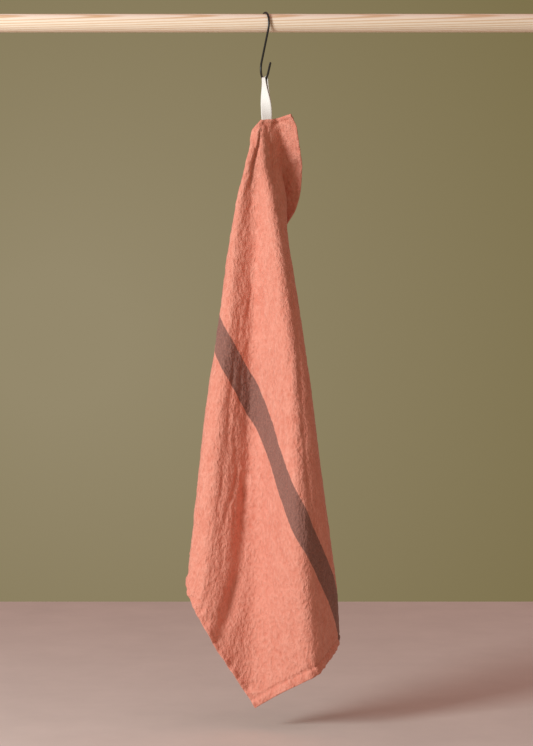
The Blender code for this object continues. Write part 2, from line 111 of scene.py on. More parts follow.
FOLDS_LEFT = (
    Fold("front_valley", 4.5, (-24, -20, -16, -13, -11.5, -7.5, -3.2, -1.5, -0.5, -0.5),
         (50, 54, 58, 56, 48, 32, 35, 36, 32, 24)),
    Fold("left_crest", 4.5, (-33, -29, -26, -23.5, -20.5, -15.4, -10.4, -9.0, -7.0, -6.3),
         (-30, -40, -45, -44, -42, -45, -52, -53, -42, -36)),
    Fold("left_edge", 3.5, (-60, -54, -34.5, -28.5, -24.5, -19, -15.0, -12.6, -10.0, -9.4),
         (-60, -98, -98, -99, -100, -100, -97, -93, -93, -94)),
    Fold("rear_left_turn", 7.0, (-62, -58, -46, -42, -40, -34, -27.6, -26.2, -24, -23),
         (-60, -105, -112, -130, -150, -180, -262, -262, -262, -262)),
    Fold("rear_inner_turn", 7.0, (-64, -60, -53, -51, -50, -44, -38.5, -37, -36, -36),
         (-60, -105, -115, -125, -130, -135, -85, -85, -85, -85)),
    Fold("rear_flap", 8.0, (-68, -62, -56, -55, -54, -51, -49, -47.5, -46, -46),
         (-60, -105, -115, -120, -125, -110, -75, -55, -55, -55)),
)
FOLDS_RIGHT = (
    Fold("front_ridge", 4.5, (-18, -14, -7.5, -2.0, 3.5, 7.0, 9.2, 10.0, 8.3, 6.3),
         (40, 46, 54, 58, 58, 56, 52, 43, 43, 78)),
    Fold("right_edge", 4.5, (15, 15, 15, 25, 27, 17, 15.6, 15.1, 14.4, 13.4),
         (40, 46, 54, 68, 112, 140, 105, 100, 98, 98)),
    Fold("rear_right_turn", 7.0, (36, 36, 36, 36, 36, 29, 27.0, 25.5, 24, 23),
         (40, 46, 54, 68, 112, 150, 258, 262, 262, 262)),
)

# The strip beyond the hang point, between it and the near top corner, down the right long edge.
# It runs on from the cone for a start, then bends to a heading of its own.
StripStation = namedtuple("StripStation", "below_top heading rise start bend")
STRIP = (
    StripStation(0.000, -34, 0.20, 0.010, 0.010),
    StripStation(0.020, -30, 0.15, 0.008, 0.012),
    StripStation(0.040, -42, 0.10, 0.008, 0.012),
    StripStation(0.065, -30, 0.06, 0.006, 0.012),
    StripStation(0.090, -10, 0.03, 0.005, 0.012),
    StripStation(0.110, -12, 0.01, 0.004, 0.013),
    StripStation(0.130, 4, 0.00, 0.002, 0.014),
    StripStation(0.155, -42, 0.00, 0.000, 0.018),
    StripStation(0.180, 10, 0.00, 0.000, 0.018),
    StripStation(0.230, 20, 0.00, 0.000, 0.020),
    StripStation(0.300, 62, 0.00, 0.000, 0.024),
    StripStation(0.450, 84, 0.00, 0.000, 0.028),
    StripStation(0.700, 80, 0.00, 0.000, 0.030),
)

# Cut across the threads the cloth stretches a little: how far the lower part has sagged either side
# of the line to the free corner, and over which flat directions the sag builds up.
SAG_LEFT = 0.0075
SAG_LEFT_WITHIN = 3.0
SAG_RIGHT = 0.017
SAG_RIGHT_WITHIN = 7.0
SAG_FROM = 0.300
SAG_FULL = 0.760

# The sewn tape holds the top edge flat and level across its own width.  The hem beyond it bows: BOW is
# its shift at most, over a stretch to the left of the tape and down to about BOW_DEPTH.
PLATE_HEADING = 15.0
PLATE_REACH = 0.005
PLATE_FADE = 0.010
BOW = (-0.0010, 0.0, 0.0036)
BOW_START = 0.008
BOW_FADE = 0.009
BOW_END = 0.034
BOW_DEPTH = 0.028

# Sampling of the hanging surface: distances from the hang point, directions on each side of the free
# corner, and rows and steps of the strip beyond the hang point.
NEAREST = 0.004
FARTHEST = 0.84
DISTANCES = 96
DIRECTIONS = 360
STRIP_ROWS = 141
STRIP_STEPS = 41
STRIP_BLUR = 0.007
STRIP_LIFT_FADE = 0.006

RIGHT_LIMIT = math.degrees(math.atan2(HANG_ACROSS, CLOTH_LENGTH))
LEFT_LIMIT = RIGHT_LIMIT - 90.0

# Listed creases, each a soft trough (or a ridge where the depth is negative).  The path gives
# (distance from the hang point, flat direction) from one end of the crease to the other.
# A crease fades in and out over up to CREASE_FADE at its ends and widens along its way, and none runs
# into the top hem.
Crease = namedtuple("Crease", "name depth_mm width_mm path")
CREASE_FADE = 0.03
CREASE_STARTS_AT = 0.7
CREASE_WIDENS_BY = 0.6
CLEAR_OF_TOP_HEM = 0.003
CREASES = (
    Crease("pull_from_tape", 3.6, 1.7, ((0.012, -29), (0.024, -24.5), (0.032, -19.5), (0.055, -16.5),
                                        (0.105, -14))),
    Crease("second_pull", 1.0, 2.0, ((0.014, -42), (0.030, -32), (0.070, -23))),
    Crease("flank_pull", 1.2, 2.6, ((0.015, 12), (0.090, 17))),
    Crease("valley_bed", 2.2, 6.0, ((0.140, -6.0), (0.300, -3.6), (0.500, -2.2), (0.620, -2.0))),
    Crease("valley_foot", 4.0, 11.0, ((0.500, -2.4), (0.620, -2.4), (0.720, -3.4))),
    Crease("hem_hollow", 5.0, 11.0, ((0.640, -2.6), (0.710, -3.8), (0.765, -4.7))),
    Crease("hem_dent", 2.0, 4.0, ((0.670, -6.4), (0.730, -7.4))),
    Crease("valley_wrinkle", 1.1, 2.2, ((0.200, -6.6), (0.255, -5.2), (0.330, -5.6))),
    Crease("valley_wrinkle_low", 1.2, 2.6, ((0.310, -4.2), (0.360, -5.4), (0.430, -4.6))),
    Crease("valley_ridge", -0.9, 3.0, ((0.290, -3.0), (0.420, -3.4))),
    Crease("crest_wrinkle", 0.9, 2.6, ((0.400, -7.6), (0.470, -6.2), (0.560, -6.6))),
    Crease("panel_line", 0.8, 4.0, ((0.220, 4.2), (0.520, 3.4))),
    Crease("ridge_dent", 1.2, 4.0, ((0.240, 8.2), (0.300, 9.6))),
    Crease("ridge_dent_low", 1.1, 4.0, ((0.330, 9.8), (0.400, 8.2))),
    Crease("crest_line", 1.0, 4.0, ((0.260, -7.5), (0.700, -6.0))),
    Crease("crest_wrinkle_low", 1.4, 4.5, ((0.520, -4.4), (0.580, -5.6), (0.660, -4.8))),
    Crease("crest_fork", 1.1, 3.0, ((0.455, -5.4), (0.500, -4.0), (0.545, -4.4))),
    Crease("left_wrinkle", 1.0, 3.0, ((0.330, -8.4), (0.375, -7.2), (0.430, -7.8))),
    Crease("flank_line", 1.0, 3.6, ((0.250, 12.5), (0.640, 11.0))),
)

# Crinkle left by washing, from the soft swell to the pebbled crepe: cycles per metre along x, y and z,
# and the height in metres.  The crepe is deeper in some patches than in others.
CrinkleLayer = namedtuple("CrinkleLayer", "cycles height seed")
SWELL = CrinkleLayer((34, 34, 5.5), 0.0011, 1)
RIPPLE = CrinkleLayer((88, 88, 34), 0.00080, 2)
PEBBLE = CrinkleLayer((175, 175, 110), 0.00070, 3)
PATCHES = CrinkleLayer((14, 14, 6), 0.7, 11)
PATCH_BASE = 0.85
FULL_CREPE = 0.0013
SWELL_FROM = 0.08

# Turned hems: the band folded to the back, the gap behind it, its loft, how deep the stitches pull
# it in, and how strongly and in how long waves washing has puckered it.
Hem = namedtuple("Hem", "band gap puff groove pucker wave")
HEM_LEFT = Hem(0.008, 0.0014, 0.0004, 0.0009, 0.0022, 0.012)
HEM_RIGHT = Hem(0.008, 0.0014, 0.0003, 0.0006, 0.0009, 0.011)
HEM_BOTTOM = Hem(0.013, 0.0016, 0.0006, 0.0020, 0.0014, 0.008)
HEM_TOP = Hem(0.008, 0.0022, 0.0008, 0.0015, 0.0004, 0.009)
STITCH_INSET = 0.0015
GROOVE_WIDTH = 0.0015


# ---------------------------------------------------------------- hanging surface of the cloth
def eased(places, values, at):
    """Smooth curve through the table values that never overshoots them."""
    x = np.asarray(places, float)
    v = np.asarray(values, float)
    at = min(max(at, x[0]), x[-1])
    k = min(max(int(np.searchsorted(x, at, side="right")) - 1, 0), len(x) - 2)
    rise = np.diff(v) / np.diff(x)
    slope = np.zeros_like(v)
    slope[0] = rise[0]
    slope[-1] = rise[-1]
    for i in range(1, len(v) - 1):
        if rise[i - 1] * rise[i] > 0:
            slope[i] = 2 * rise[i - 1] * rise[i] / (rise[i - 1] + rise[i])
    step = x[k + 1] - x[k]
    f = (at - x[k]) / step
    from_left = (1 + 2 * f) * (1 - f) ** 2 * v[k] + f * (1 - f) ** 2 * step * slope[k]
    from_right = f * f * (3 - 2 * f) * v[k + 1] + f * f * (f - 1) * step * slope[k + 1]
    return from_left + from_right


def blurred(places, values, at, reach):
    """The same curve averaged a little either side, so that no station shows as a kink."""
    weights = ((-2, 0.12), (-1, 0.23), (0, 0.30), (1, 0.23), (2, 0.12))
    return sum(weight * eased(places, values, at + step * reach) for step, weight in weights)


def at_distance(values, distance):
    """A fold table's value at a distance from the hang point."""
    return blurred(np.log(STATIONS), values, math.log(max(distance, 1e-4)), 0.08)


def headings(directions, distance):
    """Heading of the cloth, in degrees, along one section of the cone."""
    panel = at_distance(PANEL_HEADING, distance)
    result = np.full_like(directions, panel, dtype=float)
    for side, folds in ((-1, FOLDS_LEFT), (1, FOLDS_RIGHT)):
        before = panel
        for fold in folds:
            place = at_distance(fold.at_deg, distance)
            after = at_distance(fold.heading_after, distance)
            # softness is the fold's at 300 mm from the hang point, and folds soften further down
            spread = fold.softness_mm * 0.001 * math.sqrt(max(distance, 0.02) / 0.30)
            width = math.degrees(spread / max(distance, NEAREST))
            ease = np.clip(-side * (directions - place) / width, -60, 60)
            result += (after - before) / (1 + np.exp(ease))
            before = after
    return result


def section(distance):
    """Unit vectors from the hang point to the cloth, for every flat direction, at one distance."""
    start = np.array([-at_distance(LEAN_LEFT, distance), -at_distance(LEAN_FORWARD, distance), -1.0])
    start /= np.linalg.norm(start)
    sides = []
    for limit in (LEFT_LIMIT, RIGHT_LIMIT):
        directions = np.linspace(0, limit, DIRECTIONS)
        turn = np.radians(headings(directions, distance))
        step = math.radians(limit / (DIRECTIONS - 1))
        points = [start]
        for i in range(1, DIRECTIONS):
            here = points[-1]
            heading = (turn[i - 1] + turn[i]) / 2
            across = np.array([1.0, 0, 0]) - here[0] * here
            across /= np.linalg.norm(across)
            back = np.cross(across, here)
            if back[1] < 0:
                back = -back
            here = here + step * (math.cos(heading) * across + math.sin(heading) * back)
            points.append(here / np.linalg.norm(here))
        sides.append((directions, np.array(points)))
    directions = np.concatenate([sides[0][0][::-1], sides[1][0][1:]])
    points = np.concatenate([sides[0][1][::-1], sides[1][1][1:]])
    return directions, points


def between(table, row, col):
    """Values of a table read between its rows and columns."""
    i = np.clip(row.astype(int), 0, table.shape[0] - 2)
    j = np.clip(col.astype(int), 0, table.shape[1] - 2)
    down = (row - i)[:, None]
    along = (col - j)[:, None]
    near = table[i, j] * (1 - along) + table[i, j + 1] * along
    far = table[i + 1, j] * (1 - along) + table[i + 1, j + 1] * along
    return near * (1 - down) + far * down


class Cloth:
    """Hanging position of any point (across, up) of the flat cloth."""

    def __init__(self):
        self.distances = np.geomspace(NEAREST, FARTHEST, DISTANCES)
        sections = [section(d) for d in self.distances]
        self.directions = sections[0][0]
        self.rays = np.array([points for _, points in sections])
        self.below = np.linspace(0, CLOTH_LENGTH, STRIP_ROWS)
        self.beyond = np.linspace(0, CLOTH_WIDTH - HANG_ACROSS, STRIP_STEPS)
        self.strip = np.array([self.strip_row(below) for below in self.below])

    def cone(self, direction, distance):
        """Points from the hang point, for flat directions in degrees and distances in metres."""
        row = np.interp(np.log(np.maximum(distance, self.distances[0])),
                        np.log(self.distances), np.arange(len(self.distances)))
        col = np.interp(direction, self.directions, np.arange(len(self.directions)))
        ray = between(self.rays, row, col)
        ray /= np.linalg.norm(ray, axis=1, keepdims=True)
        return ray * np.asarray(distance)[:, None]

    def strip_row(self, below):
        """Steps beyond the hang line: the cloth leaves along the cone and turns to its own heading."""
        places = [s.below_top for s in STRIP]
        heading, rise, start, bend = (blurred(places, [getattr(s, name) for s in STRIP], below, STRIP_BLUR)
                                      for name in ("heading", "rise", "start", "bend"))
        reach = np.array([max(below, NEAREST)])
        edge = np.array([RIGHT_LIMIT])
        leaving = (self.cone(edge, reach) - self.cone(edge - np.degrees(0.001 / reach), reach))[0]
        leaving /= np.linalg.norm(leaving)
        first = at_distance(FOLDS_RIGHT[-1].heading_after, below)
        seen = math.degrees(math.atan2(leaving[1], leaving[0]))
        first = seen + 360 * round((first - seen) / 360)
        f = np.clip((self.beyond + self.beyond[1] / 2 - start) / bend, 0, 1)
        turn = np.radians(first + (heading - first) * f * f * (3 - 2 * f))
        lift = leaving[2] * np.clip(1 - self.beyond / STRIP_LIFT_FADE, 0, 1) + rise * f
        steps = np.stack([np.cos(turn), np.sin(turn), lift], axis=1)
        steps *= self.beyond[1] / np.linalg.norm(steps, axis=1, keepdims=True)
        return np.concatenate([[np.zeros(3)], np.cumsum(steps[:-1], axis=0)])

    def flat_polar(self, across, up):
        """Flat direction and distance of a point from the hang point; the strip takes its near edge's."""
        side = np.minimum(across, HANG_ACROSS) - HANG_ACROSS
        below = CLOTH_LENGTH - up
        return np.degrees(np.arctan2(side, below)) + RIGHT_LIMIT, np.hypot(side, below)

    def __call__(self, across, up):
        across = np.asarray(across, float)
        up = np.asarray(up, float)
        direction, distance = self.flat_polar(across, up)
        point = self.cone(direction, distance)
        point[:, 2] -= self.sag(direction, distance)
        row = np.interp(CLOTH_LENGTH - up, self.below, np.arange(len(self.below)))
        col = np.interp(np.maximum(across - HANG_ACROSS, 0), self.beyond, np.arange(len(self.beyond)))
        point = point + between(self.strip, row, col)
        return self.held_by_tape(across, up, point) + HANG_POINT

    def sag(self, direction, distance):
        """How far the lower part hangs below the cone, either side of the line to the free corner."""
        left = SAG_LEFT * (1 - np.exp(-(direction / SAG_LEFT_WITHIN) ** 2))
        right = SAG_RIGHT * (1 - np.exp(-(direction / SAG_RIGHT_WITHIN) ** 2))
        f = np.clip((distance - SAG_FROM) / (SAG_FULL - SAG_FROM), 0, 1)
        return np.where(direction < 0, left, right) * f * f * (3 - 2 * f)

    def held_by_tape(self, across, up, point):
        """Flattens the cloth under the tape and bows the hem that leaves it to the left."""
        left = HANG_ACROSS - across
        below = CLOTH_LENGTH - up
        bow = np.clip(np.minimum(left / BOW_START, (BOW_END - left) / BOW_FADE), 0, 1)
        bow *= bow * (3 - 2 * bow) * np.exp(-(below / BOW_DEPTH) ** 2)
        point = point + bow[:, None] * np.array(BOW)
        heading = math.radians(PLATE_HEADING)
        plate = np.stack([-left * math.cos(heading), -left * math.sin(heading), -below], axis=1)
        weight = np.clip(1 - (np.hypot(left, below) - PLATE_REACH) / PLATE_FADE, 0, 1)
        weight = (weight * weight * (3 - 2 * weight))[:, None]
        return point * (1 - weight) + plate * weight

    def normals(self, across, up):
        """Unit normals towards the face of the cloth that shows at the front."""
        e = 0.002
        u0 = np.maximum(across - e, 0)
        u1 = np.minimum(across + e, CLOTH_WIDTH)
        v0 = np.maximum(up - e, 0)
        v1 = np.minimum(up + e, CLOTH_LENGTH)
        n = np.cross(self(u1, up) - self(u0, up), self(across, v1) - self(across, v0))
        return n / np.linalg.norm(n, axis=1, keepdims=True)


cloth = Cloth()


# ---------------------------------------------------------------- relief of the washed cloth
def noise_field(points, scale, seed):
    """Smooth noise at each point; scale is cycles per metre along x, y and z."""
    offset = Vector((seed * 7.31, seed * 3.77, seed * 1.93))
    stretched = points * np.array(scale)
    return np.array([noise.noise(Vector(p) + offset) for p in stretched])


def hem_relief(hem, inset, along, seed):
    """Loft, stitched groove and puckers of one turned hem, by distance in from its edge."""
    near = inset < hem.band * 4
    result = np.zeros(len(inset))
    d = inset[near]
    a = along[near]
    groove_at = hem.band - STITCH_INSET
    puff = hem.puff * np.sin(np.pi * np.clip(d / groove_at, 0, 1)) ** 0.7
    groove = -hem.groove * np.exp(-((d - groove_at) / GROOVE_WIDTH) ** 2)
    # puckers run across the hem, three times as long as they are wide, and die out past its band
    line = np.stack([a / hem.wave, d / (hem.wave * 3.0), np.zeros(len(a))], axis=1)
    wave = noise_field(line, (1.0, 1.0, 1.0), seed)
    finer = noise_field(line, (2.3, 1.4, 1.0), seed + 5)
    reach = np.exp(-(np.maximum(d - hem.band * 0.6, 0) / (hem.band * 0.9)) ** 2)
    pucker = hem.pucker * (wave * 1.5 + finer * 0.6) * reach
    result[near] = puff + groove + pucker
    return result


def cloth_relief(across, up, points, crinkle):
    """Displacement along the cloth's normal, and the crinkle alone for its painted shade and light."""
    direction, distance = cloth.flat_polar(across, up)
    patch, swell, ripple, pebble = (noise_field(points, layer.cycles, layer.seed) * layer.height
                                    for layer in (PATCHES, SWELL, RIPPLE, PEBBLE))
    # the pull of the tape holds the swell down to a quarter close to the hang point
    settle = np.clip(distance / SWELL_FROM, 0.25, 1)
    fine = (ripple + pebble) * (PATCH_BASE + patch)
    total = (swell * settle + fine) * crinkle
    for crease in CREASES:
        places, angles = zip(*crease.path)
        start, end = places[0], places[-1]
        offset = np.radians(direction - np.interp(distance, places, angles)) * distance
        way = np.clip((distance - start) / (end - start), 0, 1)
        width = crease.width_mm * 0.001 * (CREASE_STARTS_AT + CREASE_WIDENS_BY * way)
        soft = min(CREASE_FADE, (end - start) * 0.4)
        fade = np.clip(np.minimum(distance - start, end - distance) / soft, 0, 1)
        fade *= np.clip((CLOTH_LENGTH - up - HEM_TOP.band * 0.7) / CLEAR_OF_TOP_HEM, 0, 1)
        total -= crease.depth_mm * 0.001 * np.exp(-(offset / width) ** 2) * fade * (2 - fade)
    total += hem_relief(HEM_LEFT, across, up, 21)
    total += hem_relief(HEM_RIGHT, CLOTH_WIDTH - across, up, 22)
    total += hem_relief(HEM_BOTTOM, up, across, 23)
    total += hem_relief(HEM_TOP, CLOTH_LENGTH - up, across, 24)
    return total, fine / FULL_CREPE


def turned_edge(hem, spacing):
    """Steps from the hem's raw edge on the back round its fold: (inset, how far behind, 0 to 1)."""
    rear = np.arange(hem.band, hem.gap * 0.8, -spacing)
    angles = np.radians((20, 55, 90, 125, 160))
    fold = [(hem.gap / 2 * (1 - math.sin(a)), (1 + math.cos(a)) / 2) for a in angles]
    return [(d, 1.0) for d in rear] + fold


def walk_across(size, start_hem, end_hem, spacing):
    """Flat positions from one turned hem over the face of the cloth to the other."""
    start = turned_edge(start_hem, spacing)
    end = turned_edge(end_hem, spacing)
    inner = np.arange(spacing, size - spacing * 0.5, spacing)
    places = [d for d, _ in start] + list(inner) + [size - d for d, _ in reversed(end)]
    behind = [b for _, b in start] + [0.0] * len(inner) + [b for _, b in reversed(end)]
    gaps = np.where(np.array(places) < size / 2, start_hem.gap, end_hem.gap)
    return np.array(places), np.array(behind) * gaps


def sheet_points(across, up, behind, crinkle):
    """Finished positions of points of the cloth, and the height of the crinkle at each."""
    base = cloth(across, up)
    relief, fine = cloth_relief(across, up, base, crinkle)
    return base + cloth.normals(across, up) * (relief - behind)[:, None], fine


# ---------------------------------------------------------------- small helpers
def add_mesh_piece(name, vertices, faces, material):
    """A smooth-shaded mesh in the scene, at the origin and with one material."""
    mesh = bpy.data.meshes.new(name)
    mesh.from_pydata([tuple(float(c) for c in v) for v in vertices], [], faces)
    mesh.materials.append(material)
    for polygon in mesh.polygons:
        polygon.use_smooth = True
    piece = bpy.data.objects.new(name, mesh)
    bpy.context.scene.collection.objects.link(piece)
    return piece


def add_flat_map(piece, per_vertex):
    """UV map in metres of flat cloth, tape or wood, one pair for each vertex."""
    layer = piece.data.uv_layers.new(name="flat")
    corners = np.zeros(len(piece.data.loops), dtype=np.int32)
    piece.data.loops.foreach_get("vertex_index", corners)
    layer.data.foreach_set("uv", np.asarray(per_vertex, dtype=np.float32)[corners].ravel())


def grid_faces(rows, columns, closed=False):
    """Quads of a grid stored row by row; closed joins the last column to the first."""
    wrap = columns if closed else columns - 1
    faces = []
    for r in range(rows - 1):
        for c in range(wrap):
            n = (c + 1) % columns
            faces.append((r * columns + c, r * columns + n, (r + 1) * columns + n, (r + 1) * columns + c))
    return faces


def rod_faces(rings, sides):
    """Quads along a row of rings round a rod or wire, and a face over each end."""
    faces = [tuple(reversed(face)) for face in grid_faces(rings, sides, closed=True)]
    last = (rings - 1) * sides
    faces.append(tuple(range(sides)))
    faces.append(tuple(last + i for i in reversed(range(sides))))
    return faces


def new_material(name):
    """An empty node material with its shader and output in place."""
    material = bpy.data.materials.new(name)
    material.use_nodes = True
    tree = material.node_tree
    tree.nodes.clear()
    output = tree.nodes.new("ShaderNodeOutputMaterial")
    shader = tree.nodes.new("ShaderNodeBsdfPrincipled")
    tree.links.new(shader.outputs["BSDF"], output.inputs["Surface"])
    return material, tree, shader


def add_node(tree, kind, values=None, links=None, **settings):
    """Adds a node, sets its properties and input values, and links sockets into its inputs."""
    node = tree.nodes.new(kind)
    for key, value in settings.items():
        setattr(node, key, value)
    for key, value in (values or {}).items():
        node.inputs[key].default_value = value
    for key, socket in (links or {}).items():
        tree.links.new(socket, node.inputs[key])
    return node


def waves_every(spacing):
    """Scale of a wave texture whose lines lie this many metres apart."""
    return 2 * math.pi / (20 * spacing)


# ---------------------------------------------------------------- materials
def cotton_dye_and_painted_shade(tree, settings, pebbles):
    """Colour of the plain cloth: painted shade in the crinkle's creases, painted light on its crests."""
    # painted shade and light: the pink is darker where the crinkle lies low and paler where it stands high
    relief = add_node(tree, "ShaderNodeAttribute", attribute_name="crinkle")
    height = add_node(tree, "ShaderNodeMapRange",
                      {"From Min": -0.9, "From Max": 0.9, "To Min": 0.15, "To Max": 0.85},
                      {"Value": relief.outputs["Fac"]})
    # painted light: paler on the tops of the same pebbles that the bump raises
    pebble_light = add_node(tree, "ShaderNodeMapRange",
                     {"From Min": 0.30, "From Max": 0.72, "To Min": -0.30, "To Max": 0.30},
                     {"Value": pebbles.outputs["Fac"]})
    crest = add_node(tree, "ShaderNodeMath",
                     links={0: height.outputs["Result"], 1: pebble_light.outputs["Result"]},
                     operation="ADD", use_clamp=True)
    return add_node(tree, "ShaderNodeMix",
                    {"A": (*settings.dye_deep_and_crease_shade, 1.0), "B": (*settings.dye_pale_and_crest_light, 1.0)},
                    {"Factor": crest.outputs["Value"]}, data_type="RGBA")


def woven_stripe(tree, settings, flat, slubs, dye_and_shade):
    """Colour of the cloth with its stripe, a heather of dark weft over the dyed warp."""
    across = add_node(tree, "ShaderNodeSeparateXYZ", links={"Vector": flat.outputs["UV"]})
    # the stripe's edges are a thread or two uneven
    uneven = 0.0012
    ragged = add_node(tree, "ShaderNodeMath", {1: uneven},
                      {0: slubs.outputs["Fac"], 2: across.outputs["X"]}, operation="MULTIPLY_ADD")
    low = add_node(tree, "ShaderNodeMapRange",
                   {"From Min": settings.stripe_start, "From Max": settings.stripe_start + uneven},
                   {"Value": ragged.outputs["Value"]})
    high = add_node(tree, "ShaderNodeMapRange",
                    {"From Min": settings.stripe_end, "From Max": settings.stripe_end + uneven,
                     "To Min": 1.0, "To Max": 0.0}, {"Value": ragged.outputs["Value"]})
    inside = add_node(tree, "ShaderNodeMath", links={0: low.outputs["Result"], 1: high.outputs["Result"]},
                      operation="MULTIPLY")
    heather = add_node(tree, "ShaderNodeMapRange",
                       {"From Min": 0.35, "From Max": 0.70, "To Min": 0.94, "To Max": 0.72},
                       {"Value": slubs.outputs["Fac"]})
    cover = add_node(tree, "ShaderNodeMath",
                     links={0: inside.outputs["Value"], 1: heather.outputs["Result"]},
                     operation="MULTIPLY")
    return add_node(tree, "ShaderNodeMix", {"B": (*settings.stripe_colour, 1.0)},
                    {"Factor": cover.outputs["Value"], "A": dye_and_shade.outputs["Result"]},
                    data_type="RGBA")


def washed_cotton_material(settings):
    """Piece-dyed crinkled cotton: a matt, slightly furry terracotta pink with a woven dark stripe.

    The crepe left by washing gives a pebbly face that runs down the cloth, with slubs and a plain
    weave inside it, and no gloss beyond the faint bloom of its loose fibres.
    """
    material, tree, shader = new_material("washed_crinkled_cotton")
    place = add_node(tree, "ShaderNodeTexCoord")
    hanging = add_node(tree, "ShaderNodeMapping", {"Scale": (1.0, 1.0, 0.62)},
                       {"Vector": place.outputs["Object"]})
    flat = add_node(tree, "ShaderNodeUVMap", uv_map="flat")

    # crepe pebbles about 4 mm across, and the slubs inside them about 1.5 mm
    pebbles = add_node(tree, "ShaderNodeTexNoise",
                       {"Scale": 265.0, "Detail": 2.0, "Roughness": 0.5},
                       {"Vector": hanging.outputs["Vector"]})
    slubs = add_node(tree, "ShaderNodeTexNoise", {"Scale": 640.0, "Detail": 2.0, "Roughness": 0.6},
                     {"Vector": hanging.outputs["Vector"]})
    # plain weave drawn at 1.2 mm, twice its real spacing, so that it still shows close up
    weft, warp = (add_node(tree, "ShaderNodeTexWave",
                           {"Scale": waves_every(settings.thread_spacing), "Distortion": 0.6,
                            "Detail": 1.0, "Detail Scale": 2.0},
                           {"Vector": flat.outputs["UV"]}, bands_direction=axis)
                  for axis in ("X", "Y"))
    weave = add_node(tree, "ShaderNodeMath", links={0: weft.outputs["Fac"], 1: warp.outputs["Fac"]},
                     operation="MULTIPLY")

    # cloth pink with painted shade in the crinkle's creases and painted light on its crests
    dye_and_shade = cotton_dye_and_painted_shade(tree, settings, pebbles)
    colour = woven_stripe(tree, settings, flat, slubs, dye_and_shade)
    tree.links.new(colour.outputs["Result"], shader.inputs["Base Color"])

    coarse_bump = add_node(tree, "ShaderNodeBump", {"Strength": 1.0, "Distance": 0.0027},
                           {"Height": pebbles.outputs["Fac"]})
    slub_bump = add_node(tree, "ShaderNodeBump", {"Strength": 0.6, "Distance": 0.0007},
                         {"Height": slubs.outputs["Fac"], "Normal": coarse_bump.outputs["Normal"]})
    weave_bump = add_node(tree, "ShaderNodeBump", {"Strength": 0.35, "Distance": 0.00025},
                          {"Height": weave.outputs["Value"], "Normal": slub_bump.outputs["Normal"]})
    tree.links.new(weave_bump.outputs["Normal"], shader.inputs["Normal"])
    shader.inputs["Roughness"].default_value = 0.92
    shader.inputs["Specular IOR Level"].default_value = 0.25
    shader.inputs["Sheen Weight"].default_value = 0.25
    shader.inputs["Sheen Roughness"].default_value = 0.45
    shader.inputs["Sheen Tint"].default_value = (1.0, 0.86, 0.80, 1.0)
    return material


def sewing_thread_material(settings):
    """Polyester sewing thread dyed to the cloth: a little smoother, so it catches a thin light."""
    material, tree, shader = new_material("tonal_sewing_thread")
    place = add_node(tree, "ShaderNodeTexCoord")
    fleck = add_node(tree, "ShaderNodeTexNoise", {"Scale": 1500.0, "Detail": 1.0},
                     {"Vector": place.outputs["Object"]})
    pale = tuple(min(c * 1.08, 1.0) for c in settings.dye_pale_and_crest_light)
    colour = add_node(tree, "ShaderNodeMix", {"A": (*settings.dye_deep_and_crease_shade, 1.0), "B": (*pale, 1.0)},
                      {"Factor": fleck.outputs["Fac"]}, data_type="RGBA")
    tree.links.new(colour.outputs["Result"], shader.inputs["Base Color"])
    shader.inputs["Roughness"].default_value = 0.6
    return material


def cotton_tape_material(settings):
    """Bleached herringbone cotton tape: chalk white, matt, with a fine ribbed face."""
    material, tree, shader = new_material("bleached_cotton_tape")
    flat = add_node(tree, "ShaderNodeUVMap", uv_map="flat")
    # ribs of a twill tape about 1.1 mm apart, slanting across the width
    slant = add_node(tree, "ShaderNodeMapping", {"Rotation": (0, 0, math.radians(32))},
                     {"Vector": flat.outputs["UV"]})
    ribs = add_node(tree, "ShaderNodeTexWave", {"Scale": waves_every(0.0011),
                                                "Distortion": 0.8, "Detail": 1.0},
                    {"Vector": slant.outputs["Vector"]})
    lint = add_node(tree, "ShaderNodeTexNoise", {"Scale": 900.0, "Detail": 2.0},
                    {"Vector": flat.outputs["UV"]})
    colour = add_node(tree, "ShaderNodeMix",
                      {"A": (*hex_colour("E4E1DC"), 1.0), "B": (*settings.colour, 1.0)},
                      {"Factor": lint.outputs["Fac"]}, data_type="RGBA")
    tree.links.new(colour.outputs["Result"], shader.inputs["Base Color"])
    rib_bump = add_node(tree, "ShaderNodeBump", {"Strength": 0.25, "Distance": 0.0002},
                        {"Height": ribs.outputs["Fac"]})
    lint_bump = add_node(tree, "ShaderNodeBump", {"Strength": 0.3, "Distance": 0.0002},
                         {"Height": lint.outputs["Fac"], "Normal": rib_bump.outputs["Normal"]})
    tree.links.new(lint_bump.outputs["Normal"], shader.inputs["Normal"])
    shader.inputs["Roughness"].default_value = 0.85
    shader.inputs["Sheen Weight"].default_value = 0.15
    return material


def black_wire_material(settings):
    """Steel wire in satin black lacquer: near black with a soft narrow highlight and a faint mottle."""
    material, tree, shader = new_material("satin_black_lacquered_steel")
    place = add_node(tree, "ShaderNodeTexCoord")
    mottle = add_node(tree, "ShaderNodeTexNoise", {"Scale": 420.0, "Detail": 3.0, "Roughness": 0.6},
                      {"Vector": place.outputs["Object"]})
    colour = add_node(tree, "ShaderNodeMix",
                      {"A": (*settings.colour, 1.0), "B": (*hex_colour("1E1D1C"), 1.0)},
                      {"Factor": mottle.outputs["Fac"]}, data_type="RGBA")
    tree.links.new(colour.outputs["Result"], shader.inputs["Base Color"])
    sheen = add_node(tree, "ShaderNodeMapRange", {"To Min": 0.32, "To Max": 0.50},
                     {"Value": mottle.outputs["Fac"]})
    tree.links.new(sheen.outputs["Result"], shader.inputs["Roughness"])
    bump = add_node(tree, "ShaderNodeBump", {"Strength": 0.15, "Distance": 0.0001},
                    {"Height": mottle.outputs["Fac"]})
    tree.links.new(bump.outputs["Normal"], shader.inputs["Normal"])
    return material


